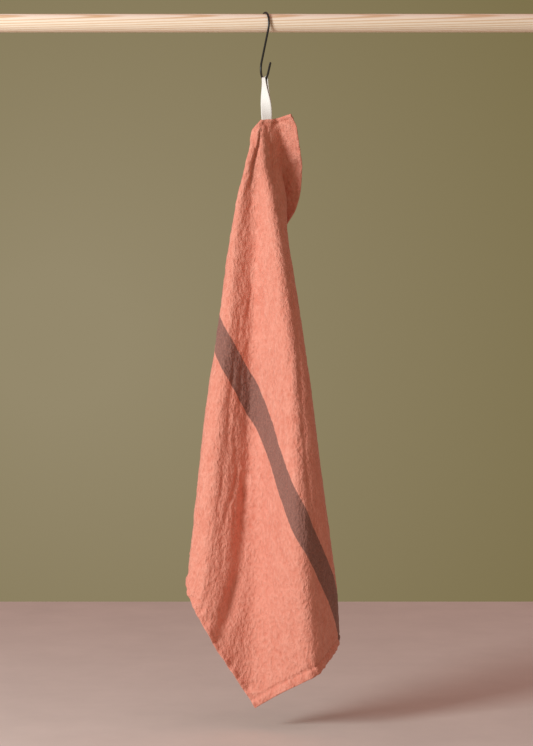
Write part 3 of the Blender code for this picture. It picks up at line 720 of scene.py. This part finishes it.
def pine_material(settings):
    """Sanded bare pine: pale straw with long fine growth lines and fibres along the rail."""
    material, tree, shader = new_material("bare_sanded_pine")
    place = add_node(tree, "ShaderNodeTexCoord")
    # growth rings about 3.4 mm apart, seen as long lines because the trunk's axis is nearly the rail's
    tilt = add_node(tree, "ShaderNodeMapping",
                    {"Location": (0.31, 0.030, -0.021), "Rotation": (0.0, math.radians(1.3),
                                                                     math.radians(0.8))},
                    {"Vector": place.outputs["Object"]})
    stretch = add_node(tree, "ShaderNodeMapping", {"Scale": (0.035, 1.0, 1.0)},
                       {"Vector": tilt.outputs["Vector"]})
    wander = add_node(tree, "ShaderNodeTexNoise", {"Scale": 26.0, "Detail": 2.0},
                      {"Vector": stretch.outputs["Vector"]})
    rings = add_node(tree, "ShaderNodeTexWave",
                     {"Scale": waves_every(0.0034), "Distortion": 5.0, "Detail": 1.5,
                      "Detail Scale": 0.35},
                     {"Vector": stretch.outputs["Vector"]}, wave_type="RINGS", rings_direction="X")
    fibre = add_node(tree, "ShaderNodeMapping", {"Scale": (0.02, 1.0, 1.0)},
                     {"Vector": place.outputs["Object"]})
    fibres = add_node(tree, "ShaderNodeTexNoise", {"Scale": 1300.0, "Detail": 3.0, "Roughness": 0.65},
                      {"Vector": fibre.outputs["Vector"]})
    ring_line = add_node(tree, "ShaderNodeMapRange", {"From Min": 0.55, "From Max": 0.98},
                         {"Value": rings.outputs["Fac"]})
    ring_tone = add_node(tree, "ShaderNodeMath", {1: 0.75}, {0: ring_line.outputs["Result"]},
                         operation="MULTIPLY")
    fibre_tone = add_node(tree, "ShaderNodeMapRange",
                          {"From Min": 0.35, "From Max": 0.75, "To Min": 0.0, "To Max": 0.35},
                          {"Value": fibres.outputs["Fac"]})
    tone = add_node(tree, "ShaderNodeMath",
                    links={0: ring_tone.outputs["Value"], 1: fibre_tone.outputs["Result"]},
                    operation="ADD", use_clamp=True)
    wood = add_node(tree, "ShaderNodeMix",
                    {"A": (*settings.colour, 1.0), "B": (*settings.grain_colour, 1.0)},
                    {"Factor": tone.outputs["Value"]}, data_type="RGBA")
    warm = add_node(tree, "ShaderNodeMix", {"B": (*hex_colour("FBF5EC"), 1.0)},
                    {"Factor": wander.outputs["Fac"], "A": wood.outputs["Result"]},
                    data_type="RGBA", blend_type="MULTIPLY")
    tree.links.new(warm.outputs["Result"], shader.inputs["Base Color"])
    bump = add_node(tree, "ShaderNodeBump", {"Strength": 0.25, "Distance": 0.0002},
                    {"Height": fibres.outputs["Fac"]})
    tree.links.new(bump.outputs["Normal"], shader.inputs["Normal"])
    shader.inputs["Roughness"].default_value = 0.58
    return material


def plaster_floor_material(settings):
    """Trowelled plaster floor: pale, warm and matt with faint clouding."""
    material, tree, shader = new_material("pale_plaster_floor")
    place = add_node(tree, "ShaderNodeTexCoord")
    cloud = add_node(tree, "ShaderNodeTexNoise", {"Scale": 7.0, "Detail": 6.0, "Roughness": 0.68},
                     {"Vector": place.outputs["Object"]})
    shade = [c * 0.80 for c in settings.floor_colour]
    colour = add_node(tree, "ShaderNodeMix", {"A": (*settings.floor_colour, 1.0), "B": (*shade, 1.0)},
                      {"Factor": cloud.outputs["Fac"]}, data_type="RGBA")
    tree.links.new(colour.outputs["Result"], shader.inputs["Base Color"])
    shader.inputs["Roughness"].default_value = 0.9
    return material


# ---------------------------------------------------------------- settings a user would change
class TowelSettings(bpy.types.PropertyGroup):
    mesh_spacing: FloatProperty(
        name="Mesh Spacing", description="Distance between the sheet's vertices on the flat cloth",
        default=0.0020, min=0.0015, max=0.01, unit="LENGTH", precision=4)
    crinkle: FloatProperty(
        name="Crinkle", description="Depth of the crinkle left by washing; 1 is as washed",
        default=1.0, min=0.0, max=2.0, subtype="FACTOR")
    thread_spacing: FloatProperty(
        name="Thread Spacing", description="Spacing at which the plain weave is drawn",
        default=0.0012, min=0.0004, max=0.004, unit="LENGTH", precision=4)
    stripe_start: FloatProperty(
        name="Stripe Start", description="Distance from the left long edge to the woven stripe",
        default=0.210, min=0.0, max=CLOTH_WIDTH, unit="LENGTH")
    stripe_end: FloatProperty(
        name="Stripe End", description="Distance from the left long edge to the stripe's far side",
        default=0.245, min=0.0, max=CLOTH_WIDTH, unit="LENGTH")
    # The pale pink is also painted light on the crinkle's crests, and the deep pink is painted shade in
    # its creases; the thread mixes the two as random flecks.
    dye_pale_and_crest_light: FloatVectorProperty(
        name="Pale Dye", description="Terracotta pink on the rubbed crests of the crinkle",
        default=hex_colour("ECA38E"), size=3, subtype="COLOR", min=0.0, max=1.0)
    dye_deep_and_crease_shade: FloatVectorProperty(
        name="Deep Dye", description="Terracotta pink down in the creases",
        default=hex_colour("D7826C"), size=3, subtype="COLOR", min=0.0, max=1.0)
    stripe_colour: FloatVectorProperty(
        name="Stripe", description="Grey-brown weft of the woven stripe",
        default=hex_colour("785850"), size=3, subtype="COLOR", min=0.0, max=1.0)
    stitch_length: FloatProperty(
        name="Stitch Length", description="Length of one stitch with its gap along the hems",
        default=0.0034, min=0.002, max=0.006, unit="LENGTH", precision=4)
    thread_radius: FloatProperty(
        name="Thread Radius", description="Half the thickness of the sewing thread",
        default=0.00026, min=0.0001, max=0.0006, unit="LENGTH", precision=5)


class TapeSettings(bpy.types.PropertyGroup):
    width_at_hem: FloatProperty(
        name="Width at Hem", description="Width of the tape where it is sewn into the top hem",
        default=0.0160, min=0.008, max=0.03, unit="LENGTH", precision=4)
    width_at_hook: FloatProperty(
        name="Width at Hook", description="Width of the tape where it bunches in the hook's bend",
        default=0.0135, min=0.006, max=0.03, unit="LENGTH", precision=4)
    thickness: FloatProperty(
        name="Thickness", description="Thickness of the woven tape",
        default=0.0007, min=0.0004, max=0.0012, unit="LENGTH", precision=4)
    colour: FloatVectorProperty(
        name="Tape", description="Bleached white of the tape",
        default=hex_colour("F6F4F0"), size=3, subtype="COLOR", min=0.0, max=1.0)


class HookSettings(bpy.types.PropertyGroup):
    sides: IntProperty(
        name="Sides", description="Facets round the wire", default=24, min=8, max=48)
    colour: FloatVectorProperty(
        name="Lacquer", description="Black lacquer of the hook",
        default=hex_colour("101011"), size=3, subtype="COLOR", min=0.0, max=1.0)


class RailSettings(bpy.types.PropertyGroup):
    sides: IntProperty(
        name="Sides", description="Facets round the dowel", default=96, min=24, max=192)
    colour: FloatVectorProperty(
        name="Sapwood", description="Pale wood between the growth lines",
        default=hex_colour("FDF1E2"), size=3, subtype="COLOR", min=0.0, max=1.0)
    grain_colour: FloatVectorProperty(
        name="Grain", description="Darker wood of the growth lines",
        default=hex_colour("DEB88F"), size=3, subtype="COLOR", min=0.0, max=1.0)


class StageSettings(bpy.types.PropertyGroup):
    floor_below_tip: FloatProperty(
        name="Floor Below Tip", description="Gap between the towel's lowest corner and the floor",
        default=0.030, min=0.0, max=1.0, unit="LENGTH")
    floor_reach: FloatProperty(
        name="Floor Reach", description="Distance from the towel to the floor's edge",
        default=1.35, min=0.5, max=5.0, unit="LENGTH")
    floor_colour: FloatVectorProperty(
        name="Floor", description="Pale warm plaster of the floor",
        default=hex_colour("D8D1C7"), size=3, subtype="COLOR", min=0.0, max=1.0)
    surround_colour: FloatVectorProperty(
        name="Surround", description="Muted olive of the room, which also fills the shadows",
        default=hex_colour("95896C"), size=3, subtype="COLOR", min=0.0, max=1.0)
    far_colour: FloatVectorProperty(
        name="Far Surround", description="Deeper olive of the walls away from the lit patch",
        default=hex_colour("74683F"), size=3, subtype="COLOR", min=0.0, max=1.0)
    ceiling_colour: FloatVectorProperty(
        name="Ceiling", description="Pale light that comes down from the ceiling",
        default=hex_colour("C69A98"), size=3, subtype="COLOR", min=0.0, max=1.0)
    surround_light: FloatProperty(
        name="Surround Light", description="Strength of the light from the room",
        default=1.0, min=0.0, max=5.0)
    key_power: FloatProperty(
        name="Key Power", description="Power of the soft box at the front left",
        default=57.0, min=0.0, max=1000.0, unit="POWER")
    key_colour: FloatVectorProperty(
        name="Key Colour", description="Daylight white of the soft box",
        default=(0.94, 0.98, 1.0), size=3, subtype="COLOR", min=0.0, max=1.0)
    key_side: FloatProperty(
        name="Key Side", description="Angle of the soft box to the left of the camera",
        default=math.radians(48), min=-math.pi, max=math.pi, subtype="ANGLE")
    key_distance: FloatProperty(
        name="Key Distance", description="Distance over the floor from the towel to the soft box",
        default=2.4, min=0.5, max=10.0, unit="LENGTH")
    key_height: FloatProperty(
        name="Key Height", description="Height of the soft box from the rail's axis",
        default=0.10, min=-2.0, max=5.0, unit="LENGTH")
    view_distance: FloatProperty(
        name="View Distance", description="Distance from the camera to the towel's plane",
        default=2.5, min=0.5, max=10.0, unit="LENGTH")
    view_height: FloatProperty(
        name="View Height", description="Height of the view at the towel's plane",
        default=1.067, min=0.2, max=5.0, unit="LENGTH")
    view_left: FloatProperty(
        name="View Left", description="Distance of the camera to the left of the hang point",
        default=0.0007, min=-1.0, max=1.0, unit="LENGTH", precision=4)
    view_below: FloatProperty(
        name="View Below", description="Distance of the camera below the hang point",
        default=0.3633, min=-1.0, max=1.0, unit="LENGTH", precision=4)


# ---------------------------------------------------------------- pieces
class OBJECT_OT_add_tea_towel(bpy.types.Operator):
    """Add the hanging cloth with its turned hems and crinkle"""
    bl_idname = "object.add_tea_towel"
    bl_label = "Add Tea Towel"

    def execute(self, context):
        settings = context.scene.tea_towel
        spacing = settings.mesh_spacing
        across, behind_u = walk_across(CLOTH_WIDTH, HEM_LEFT, HEM_RIGHT, spacing)
        up, behind_v = walk_across(CLOTH_LENGTH, HEM_BOTTOM, HEM_TOP, spacing)
        u, v = (grid.ravel() for grid in np.meshgrid(across, up))
        bu, bv = (grid.ravel() for grid in np.meshgrid(behind_u, behind_v))
        # where two hems cross at a corner the cloth is folded twice
        behind = np.maximum(bu, bv) + 0.4 * np.minimum(bu, bv)
        points, fine = sheet_points(u, v, behind, settings.crinkle)
        faces = grid_faces(len(up), len(across))
        towel = add_mesh_piece("tea_towel_cloth", points, faces, washed_cotton_material(settings))
        add_flat_map(towel, np.stack([u, v], axis=1))
        crinkle = towel.data.attributes.new("crinkle", "FLOAT", "POINT")
        crinkle.data.foreach_set("value", fine.astype(np.float32))
        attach(towel, "root")
        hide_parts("towel")
        return {"FINISHED"}


def stitch_tree(thread):
    """Node tree that lays a row of stitches along each curve it is given."""
    tree = bpy.data.node_groups.new("hem_stitches", "GeometryNodeTree")
    tree.interface.new_socket("Seam", in_out="INPUT", socket_type="NodeSocketGeometry")
    for name, default in (("Stitch Length", 0.0034), ("Thread Radius", 0.00026)):
        socket = tree.interface.new_socket(name, in_out="INPUT", socket_type="NodeSocketFloat")
        socket.default_value = default
    tree.interface.new_socket("Stitches", in_out="OUTPUT", socket_type="NodeSocketGeometry")
    inputs = tree.nodes.new("NodeGroupInput")
    outputs = tree.nodes.new("NodeGroupOutput")
    spots = add_node(tree, "GeometryNodeCurveToPoints",
                     links={"Curve": inputs.outputs["Seam"], "Length": inputs.outputs["Stitch Length"]},
                     mode="LENGTH")
    bead = add_node(tree, "GeometryNodeMeshUVSphere", {"Segments": 6, "Rings": 5, "Radius": 1.0})
    # each stitch fills four fifths of its length, so half of it is 0.40
    half = add_node(tree, "ShaderNodeMath", {1: 0.40}, {0: inputs.outputs["Stitch Length"]},
                    operation="MULTIPLY")
    size = add_node(tree, "ShaderNodeCombineXYZ",
                    links={"X": inputs.outputs["Thread Radius"], "Y": inputs.outputs["Thread Radius"],
                           "Z": half.outputs["Value"]})
    loose = add_node(tree, "FunctionNodeRandomValue", {"Seed": 4}, data_type="FLOAT_VECTOR")
    # no two stitches lie quite alike: up to 0.10 rad off the seam's line
    loose.inputs[0].default_value = (-0.10, -0.10, -0.10)
    loose.inputs[1].default_value = (0.10, 0.10, 0.10)
    turned = add_node(tree, "FunctionNodeRotateRotation",
                      links={"Rotation": spots.outputs["Rotation"]}, rotation_space="LOCAL")
    tree.links.new(loose.outputs[0], turned.inputs["Rotate By"])
    row = add_node(tree, "GeometryNodeInstanceOnPoints",
                   links={"Points": spots.outputs["Points"], "Instance": bead.outputs["Mesh"],
                          "Rotation": turned.outputs["Rotation"], "Scale": size.outputs["Vector"]})
    real = add_node(tree, "GeometryNodeRealizeInstances", links={"Geometry": row.outputs["Instances"]})
    dyed = add_node(tree, "GeometryNodeSetMaterial", {"Material": thread},
                    {"Geometry": real.outputs["Geometry"]})
    tree.links.new(dyed.outputs["Geometry"], outputs.inputs["Stitches"])
    return tree


def seam_lines(settings):
    """Lines of points just above the cloth where the hems are stitched down, front and back."""
    inset = 0.0018
    above_face = 0.00025
    above_back = 0.0003
    step = settings.stitch_length / 2
    left = HEM_LEFT.band - inset
    right = CLOTH_WIDTH - HEM_RIGHT.band + inset
    bottom = HEM_BOTTOM.band - inset
    top = CLOTH_LENGTH - HEM_TOP.band + inset
    runs = []
    for across in (left, right):
        up = np.arange(bottom, top, step)
        runs.append((np.full(len(up), across), up))
    for up in (bottom, top):
        across = np.arange(left, right, step)
        runs.append((across, np.full(len(across), up)))
    lines = []
    for across, up in runs:
        for behind in (-above_face, HEM_BOTTOM.gap + above_back):
            points, _ = sheet_points(across, up, np.full(len(up), behind), settings.crinkle)
            lines.append(points)
    return lines


class OBJECT_OT_add_hem_stitches(bpy.types.Operator):
    """Add the rows of stitches that hold the hems down"""
    bl_idname = "object.add_hem_stitches"
    bl_label = "Add Hem Stitches"

    def execute(self, context):
        settings = context.scene.tea_towel
        curve = bpy.data.curves.new("hem_seams", "CURVE")
        curve.dimensions = "3D"
        for points in seam_lines(settings):
            spline = curve.splines.new("POLY")
            spline.points.add(len(points) - 1)
            spline.points.foreach_set("co", np.column_stack([points, np.ones(len(points))]).ravel())
        seams = bpy.data.objects.new("hem_seams", curve)
        context.scene.collection.objects.link(seams)
        thread = sewing_thread_material(settings)
        tree = stitch_tree(thread)
        modifier = seams.modifiers.new("stitches", "NODES")
        modifier.node_group = tree
        sizes = {"Stitch Length": settings.stitch_length, "Thread Radius": settings.thread_radius}
        for item in tree.interface.items_tree:
            if item.name in sizes:
                modifier[item.identifier] = sizes[item.name]
        context.view_layer.update()
        evaluated = seams.evaluated_get(context.evaluated_depsgraph_get())
        mesh = bpy.data.meshes.new_from_object(evaluated)
        stitches = bpy.data.objects.new("hem_stitches", mesh)
        context.scene.collection.objects.link(stitches)
        bpy.data.objects.remove(seams, do_unlink=True)
        if not len(mesh.polygons):
            raise RuntimeError("the hem stitches came out empty")
        for polygon in mesh.polygons:
            polygon.use_smooth = True
        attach(stitches, "root")
        return {"FINISHED"}


def hook_point(across_plane, height):
    """World point of (distance behind the load line in the hook's plane, height)."""
    turn = math.radians(HOOK_TURN)
    return np.array([LOAD_LINE_X - across_plane * math.sin(turn),
                     across_plane * math.cos(turn), height])


def wire_height(across_plane):
    """Height of the lower bend's centre-line above one place in the hook's plane, or above many."""
    drop = np.sqrt(HOOK_BEND_RADIUS ** 2 - across_plane ** 2)
    return HOOK_BOTTOM_Z + HOOK_BEND_RADIUS - drop


# Places across the tape as shares of its width, and the rows of points up each leg and over the wire.
TAPE_OFFSETS = np.linspace(-0.5, 0.5, 11)
TAPE_LEG_ROWS = 40
TAPE_BEND_ROWS = 16
TAPE_TOP_ANGLE = math.radians(HOOK_TURN - 90)


def tape_directions(angle):
    """Level unit vectors along the tape's width and out of its front face."""
    along = np.array([math.cos(angle), math.sin(angle), 0])
    outward = np.array([math.sin(angle), -math.cos(angle), 0])
    return along, outward


def tape_leg(settings, bend, side):
    """Rows of one leg, from inside the top hem up to the wire: side 1 is the front leg, -1 the back."""
    # the foot lies 4 mm below the cloth's edge, between the hem's face and its turned band
    sunk = 0.004
    into_hem = HEM_TOP.gap * 0.62
    foot_gap = settings.thickness * 0.55
    curl_height = 0.0006
    across = HANG_ACROSS + TAPE_OFFSETS * settings.width_at_hem
    top_edge = np.full(len(across), CLOTH_LENGTH)
    hem = cloth(across, top_edge)
    feet = hem - cloth.normals(across, top_edge) * into_hem - np.array([0, 0, sunk])
    tops = wire_height(TAPE_OFFSETS * settings.width_at_hook)
    middle = (hem[0] + hem[-1]) / 2
    run = hem[-1] - hem[0]
    hem_angle = math.atan2(run[1], run[0])
    rows = []
    for k in range(TAPE_LEG_ROWS + 1):
        f = k / TAPE_LEG_ROWS
        along, outward = tape_directions(hem_angle + (TAPE_TOP_ANGLE - hem_angle) * f * f * (3 - 2 * f))
        width = settings.width_at_hem + (settings.width_at_hook - settings.width_at_hem) * f
        free = middle + (hook_point(0, 0) - middle) * f + np.outer(TAPE_OFFSETS * width, along)
        # the lowest fifth of the leg settles onto the curve of the hem
        settle = max(0.0, 1 - f * 5) ** 2
        line = free * (1 - settle) + feet * settle
        line[:, 2] = feet[:, 2] + (tops - feet[:, 2]) * f
        gap = foot_gap + (bend - foot_gap) * f ** 1.6
        curl = curl_height * math.sin(math.pi * f) * (TAPE_OFFSETS * 2) ** 2
        rows.append(line + np.outer(gap * side + curl, outward))
    return rows


def tape_over_wire(settings, bend):
    """Rows of the bend that sits on the wire, from the front leg to the back one."""
    plane = TAPE_OFFSETS * settings.width_at_hook
    slope = np.sqrt(1 - (plane / HOOK_BEND_RADIUS) ** 2)
    centres = np.array([hook_point(0, height) for height in wire_height(plane)])
    along, outward = tape_directions(TAPE_TOP_ANGLE)
    rows = []
    for k in range(1, TAPE_BEND_ROWS):
        swing = math.pi * k / TAPE_BEND_ROWS
        line = centres + np.outer(plane, along) + outward * math.cos(swing) * bend
        line[:, 2] += math.sin(swing) * bend / slope
        rows.append(line)
    return rows


def tape_lines(settings):
    """Rows of points across the tape, from its front end up over the wire and down behind."""
    clear_of_wire = 0.0002
    bend = WIRE_RADIUS + settings.thickness / 2 + clear_of_wire
    front = tape_leg(settings, bend, 1)
    back = tape_leg(settings, bend, -1)
    return np.array(front + tape_over_wire(settings, bend) + back[::-1])


class OBJECT_OT_add_hanging_loop(bpy.types.Operator):
    """Add the folded cotton tape that the towel hangs by"""
    bl_idname = "object.add_hanging_loop"
    bl_label = "Add Hanging Loop"

    def execute(self, context):
        settings = context.scene.hanging_loop
        points = tape_lines(settings)
        count, columns = points.shape[:2]
        along = np.gradient(points, axis=0)
        across = np.gradient(points, axis=1)
        normals = np.cross(across, along)
        normals /= np.linalg.norm(normals, axis=2, keepdims=True)
        half = normals * settings.thickness / 2
        # one closed ring of points round the tape for every row: front face, then back face
        ring = np.concatenate([points + half, (points - half)[:, ::-1]], axis=1)
        faces = grid_faces(count, columns * 2, closed=True)
        faces.append(tuple(reversed(range(columns * 2))))
        faces.append(tuple((count - 1) * columns * 2 + i for i in range(columns * 2)))
        loop = add_mesh_piece("cotton_hanging_loop", ring.reshape(-1, 3), faces,
                              cotton_tape_material(settings))
        lengths = np.concatenate([[0], np.cumsum(np.linalg.norm(np.diff(points[:, columns // 2], axis=0),
                                                                axis=1))])
        widths = np.linspace(0, settings.width_at_hem, columns)
        row = np.concatenate([widths, widths[::-1]])
        flat = [(w, length) for length in lengths for w in row]
        add_flat_map(loop, flat)
        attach(loop, "root")
        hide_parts("hanging_loop")
        return {"FINISHED"}


def hook_path(segments):
    """Centre-line in the hook's plane, from the upper tail over the rail to the lower tail."""
    centre_z = (HOOK_TOP_Z + HOOK_BOTTOM_Z) / 2
    bend_z = HOOK_TOP_Z - HOOK_BEND_RADIUS
    shank_lean = math.degrees(math.asin(HOOK_BEND_RADIUS / (bend_z - centre_z)))
    start = HOOK_TAIL_FLARE
    end = 180 + shank_lean
    half = []
    for k in range(segments + 1):
        angle = math.radians(start + (end - start) * k / segments)
        half.append((HOOK_BEND_RADIUS * math.cos(angle), bend_z + HOOK_BEND_RADIUS * math.sin(angle)))
    flare = math.radians(HOOK_TAIL_FLARE)
    tail = []
    for k in range(6, 0, -1):
        reach = HOOK_TAIL * k / 6
        tail.append((half[0][0] + reach * math.sin(flare), half[0][1] - reach * math.cos(flare)))
    half = tail + half
    other = [(-q, 2 * centre_z - z) for q, z in reversed(half)]
    return half + [(0.0, centre_z)] + other


class OBJECT_OT_add_s_hook(bpy.types.Operator):
    """Add the bent wire hook between the rail and the tape"""
    bl_idname = "object.add_s_hook"
    bl_label = "Add S-Hook"

    def execute(self, context):
        settings = context.scene.s_hook
        path = np.array(hook_path(48))
        tangents = np.gradient(path, axis=0)
        tangents[0] = path[1] - path[0]
        tangents[-1] = path[-1] - path[-2]
        tangents /= np.linalg.norm(tangents, axis=1, keepdims=True)
        caps = [(math.sin(math.radians(a)), math.cos(math.radians(a))) for a in (8, 25, 45, 70)]
        rings = [(path[0] - tangents[0] * WIRE_RADIUS * c, tangents[0], s) for s, c in caps]
        rings += [(p, t, 1.0) for p, t in zip(path, tangents)]
        rings += [(path[-1] + tangents[-1] * WIRE_RADIUS * c, tangents[-1], s)
                  for s, c in reversed(caps)]
        turn = math.radians(HOOK_TURN)
        sideways = np.array([math.cos(turn), math.sin(turn), 0])
        vertices = []
        for (q, z), (tq, tz), scale in rings:
            in_plane = hook_point(tz, 0) - hook_point(0, 0) - np.array([0, 0, tq])
            for i in range(settings.sides):
                a = 2 * math.pi * i / settings.sides
                ray = math.cos(a) * in_plane + math.sin(a) * sideways
                vertices.append(hook_point(q, z) + WIRE_RADIUS * scale * ray)
        hook = add_mesh_piece("wire_s_hook", vertices, rod_faces(len(rings), settings.sides),
                              black_wire_material(settings))
        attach(hook, "root")
        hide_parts("s_hook")
        return {"FINISHED"}


class OBJECT_OT_add_pine_rail(bpy.types.Operator):
    """Add the round pine rail with softened ends"""
    bl_idname = "object.add_pine_rail"
    bl_label = "Add Pine Rail"

    def execute(self, context):
        settings = context.scene.pine_rail
        ease = 0.0010
        lengths = 40
        length = RAIL_HIGH.x - RAIL_LOW.x
        end = [(ease * (1 - math.cos(math.radians(a))), ease * (1 - math.sin(math.radians(a))))
               for a in (0, 30, 60, 90)]
        stations = [(x, RAIL_RADIUS - inset) for x, inset in end]
        body = [(length * k / lengths, RAIL_RADIUS) for k in range(1, lengths)]
        stations = stations + body + [(length - x, r) for x, r in reversed(stations)]
        vertices = []
        for x, radius in stations:
            for i in range(settings.sides):
                a = 2 * math.pi * i / settings.sides
                vertices.append((RAIL_LOW.x + x, radius * math.cos(a), radius * math.sin(a)))
        rail = add_mesh_piece("pine_rail", vertices, rod_faces(len(stations), settings.sides),
                              pine_material(settings))
        for polygon in rail.data.polygons:
            polygon.use_smooth = abs(polygon.normal.x) < 0.95
        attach(rail, "root")
        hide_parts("rail")
        return {"FINISHED"}


SOFT_BOX_SIZE = (0.7, 1.0)
SENSOR_MM = 36.0
# Direction of the brightest patch of the wall, and where the wall is brightest, deepest and pale again
# by distance from it.
WALL_PATCH = (-0.12, 1.0, 0.02)
WALL_NEAR = 0.04
WALL_DEEP = 0.42
WALL_REST = 0.95
WALL_REST_TONE = 0.78


def aim(thing, target):
    """Turn a light or camera to look at a point."""
    direction = Vector(target) - thing.location
    thing.rotation_euler = direction.to_track_quat("-Z", "Y").to_euler()


def room_world(settings):
    """Muted walls all round under a pale ceiling, which gives the shadows their neutral fill."""
    world = bpy.data.worlds.new("muted_room")
    world.use_nodes = True
    tree = world.node_tree
    background = tree.nodes["Background"]
    place = add_node(tree, "ShaderNodeTexCoord")
    towards = add_node(tree, "ShaderNodeSeparateXYZ", links={"Vector": place.outputs["Generated"]})
    overhead = add_node(tree, "ShaderNodeMapRange", {"From Min": 0.30, "From Max": 0.75},
                        {"Value": towards.outputs["Z"]}, interpolation_type="SMOOTHSTEP")
    # the wall behind is brightest a little left of the towel, deepens round it and pales again
    aside = add_node(tree, "ShaderNodeVectorMath", {1: WALL_PATCH},
                     {0: place.outputs["Generated"]}, operation="DISTANCE")
    wall = add_node(tree, "ShaderNodeValToRGB", links={"Fac": aside.outputs["Value"]})
    near, far = wall.color_ramp.elements[0], wall.color_ramp.elements[1]
    near.position = WALL_NEAR
    near.color = (*settings.surround_colour, 1.0)
    far.position = WALL_DEEP
    far.color = (*settings.far_colour, 1.0)
    rest = wall.color_ramp.elements.new(WALL_REST)
    rest.color = (*[c * WALL_REST_TONE for c in settings.surround_colour], 1.0)
    room = add_node(tree, "ShaderNodeMix", {"B": (*settings.ceiling_colour, 1.0)},
                    {"Factor": overhead.outputs["Result"], "A": wall.outputs["Color"]},
                    data_type="RGBA")
    tree.links.new(room.outputs["Result"], background.inputs["Color"])
    background.inputs["Strength"].default_value = settings.surround_light
    return world


class SCENE_OT_add_towel_stage(bpy.types.Operator):
    """Add the pale floor, the soft lights and the camera"""
    bl_idname = "scene.add_towel_stage"
    bl_label = "Add Stage"

    def execute(self, context):
        settings = context.scene.towel_stage
        middle = Vector((HANG_POINT[0], 0.0, (CAD_BOX[0][2] + CAD_BOX[1][2]) / 2))
        floor_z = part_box("towel")[0].z - settings.floor_below_tip
        reach = settings.floor_reach
        corners = [(middle.x + sx * reach, sy * reach, floor_z)
                   for sx, sy in ((-1, -1), (1, -1), (1, 1), (-1, 1))]
        floor = add_mesh_piece("floor", corners, [(0, 1, 2, 3)], plaster_floor_material(settings))

        context.scene.world = room_world(settings)
        context.scene.view_settings.view_transform = "Standard"

        key = bpy.data.lights.new("soft_box", "AREA")
        key.shape = "RECTANGLE"
        key.size, key.size_y = SOFT_BOX_SIZE
        key.energy = settings.key_power
        key.color = settings.key_colour
        soft_box = bpy.data.objects.new("soft_box", key)
        away = settings.key_distance
        soft_box.location = Vector((middle.x - away * math.sin(settings.key_side),
                                    -away * math.cos(settings.key_side), settings.key_height))
        aim(soft_box, middle)
        context.scene.collection.objects.link(soft_box)

        lens = bpy.data.cameras.new("camera")
        lens.sensor_fit = "VERTICAL"
        lens.sensor_height = SENSOR_MM
        lens.lens = SENSOR_MM * settings.view_distance / settings.view_height
        camera = bpy.data.objects.new("camera", lens)
        camera.location = (HANG_POINT[0] - settings.view_left, -settings.view_distance,
                           HANG_POINT[2] - settings.view_below)
        camera.rotation_euler = (math.radians(90), 0, 0)
        context.scene.collection.objects.link(camera)
        context.scene.camera = camera
        return {"FINISHED"}


class VIEW3D_PT_tea_towel(bpy.types.Panel):
    """Lists the pieces of the hanging tea towel"""
    bl_label = "Tea Towel"
    bl_space_type = "VIEW_3D"
    bl_region_type = "UI"
    bl_category = "Tea Towel"

    def draw(self, context):
        for settings, buttons in PANEL_ROWS:
            box = self.layout.box()
            group = getattr(context.scene, settings)
            for name in group.__annotations__:
                box.prop(group, name)
            for button in buttons:
                box.operator(button)


PANEL_ROWS = (
    ("tea_towel", ("object.add_tea_towel", "object.add_hem_stitches")),
    ("hanging_loop", ("object.add_hanging_loop",)),
    ("s_hook", ("object.add_s_hook",)),
    ("pine_rail", ("object.add_pine_rail",)),
    ("towel_stage", ("scene.add_towel_stage",)),
)
SETTINGS = (
    ("tea_towel", TowelSettings),
    ("hanging_loop", TapeSettings),
    ("s_hook", HookSettings),
    ("pine_rail", RailSettings),
    ("towel_stage", StageSettings),
)
CLASSES = (
    OBJECT_OT_add_tea_towel,
    OBJECT_OT_add_hem_stitches,
    OBJECT_OT_add_hanging_loop,
    OBJECT_OT_add_s_hook,
    OBJECT_OT_add_pine_rail,
    SCENE_OT_add_towel_stage,
    VIEW3D_PT_tea_towel,
)


def register():
    """Add the settings and the operators to Blender"""
    for name, group in SETTINGS:
        bpy.utils.register_class(group)
        setattr(bpy.types.Scene, name, PointerProperty(type=group))
    for item in CLASSES:
        bpy.utils.register_class(item)


def unregister():
    """Take them away again"""
    for item in reversed(CLASSES):
        bpy.utils.unregister_class(item)
    for name, group in reversed(SETTINGS):
        delattr(bpy.types.Scene, name)
        bpy.utils.unregister_class(group)


def main():
    """Build every piece and the stage"""
    register()
    bpy.ops.object.add_tea_towel()
    bpy.ops.object.add_hem_stitches()
    bpy.ops.object.add_hanging_loop()
    bpy.ops.object.add_s_hook()
    bpy.ops.object.add_pine_rail()
    bpy.ops.scene.add_towel_stage()


if __name__ == "__main__":
    main()
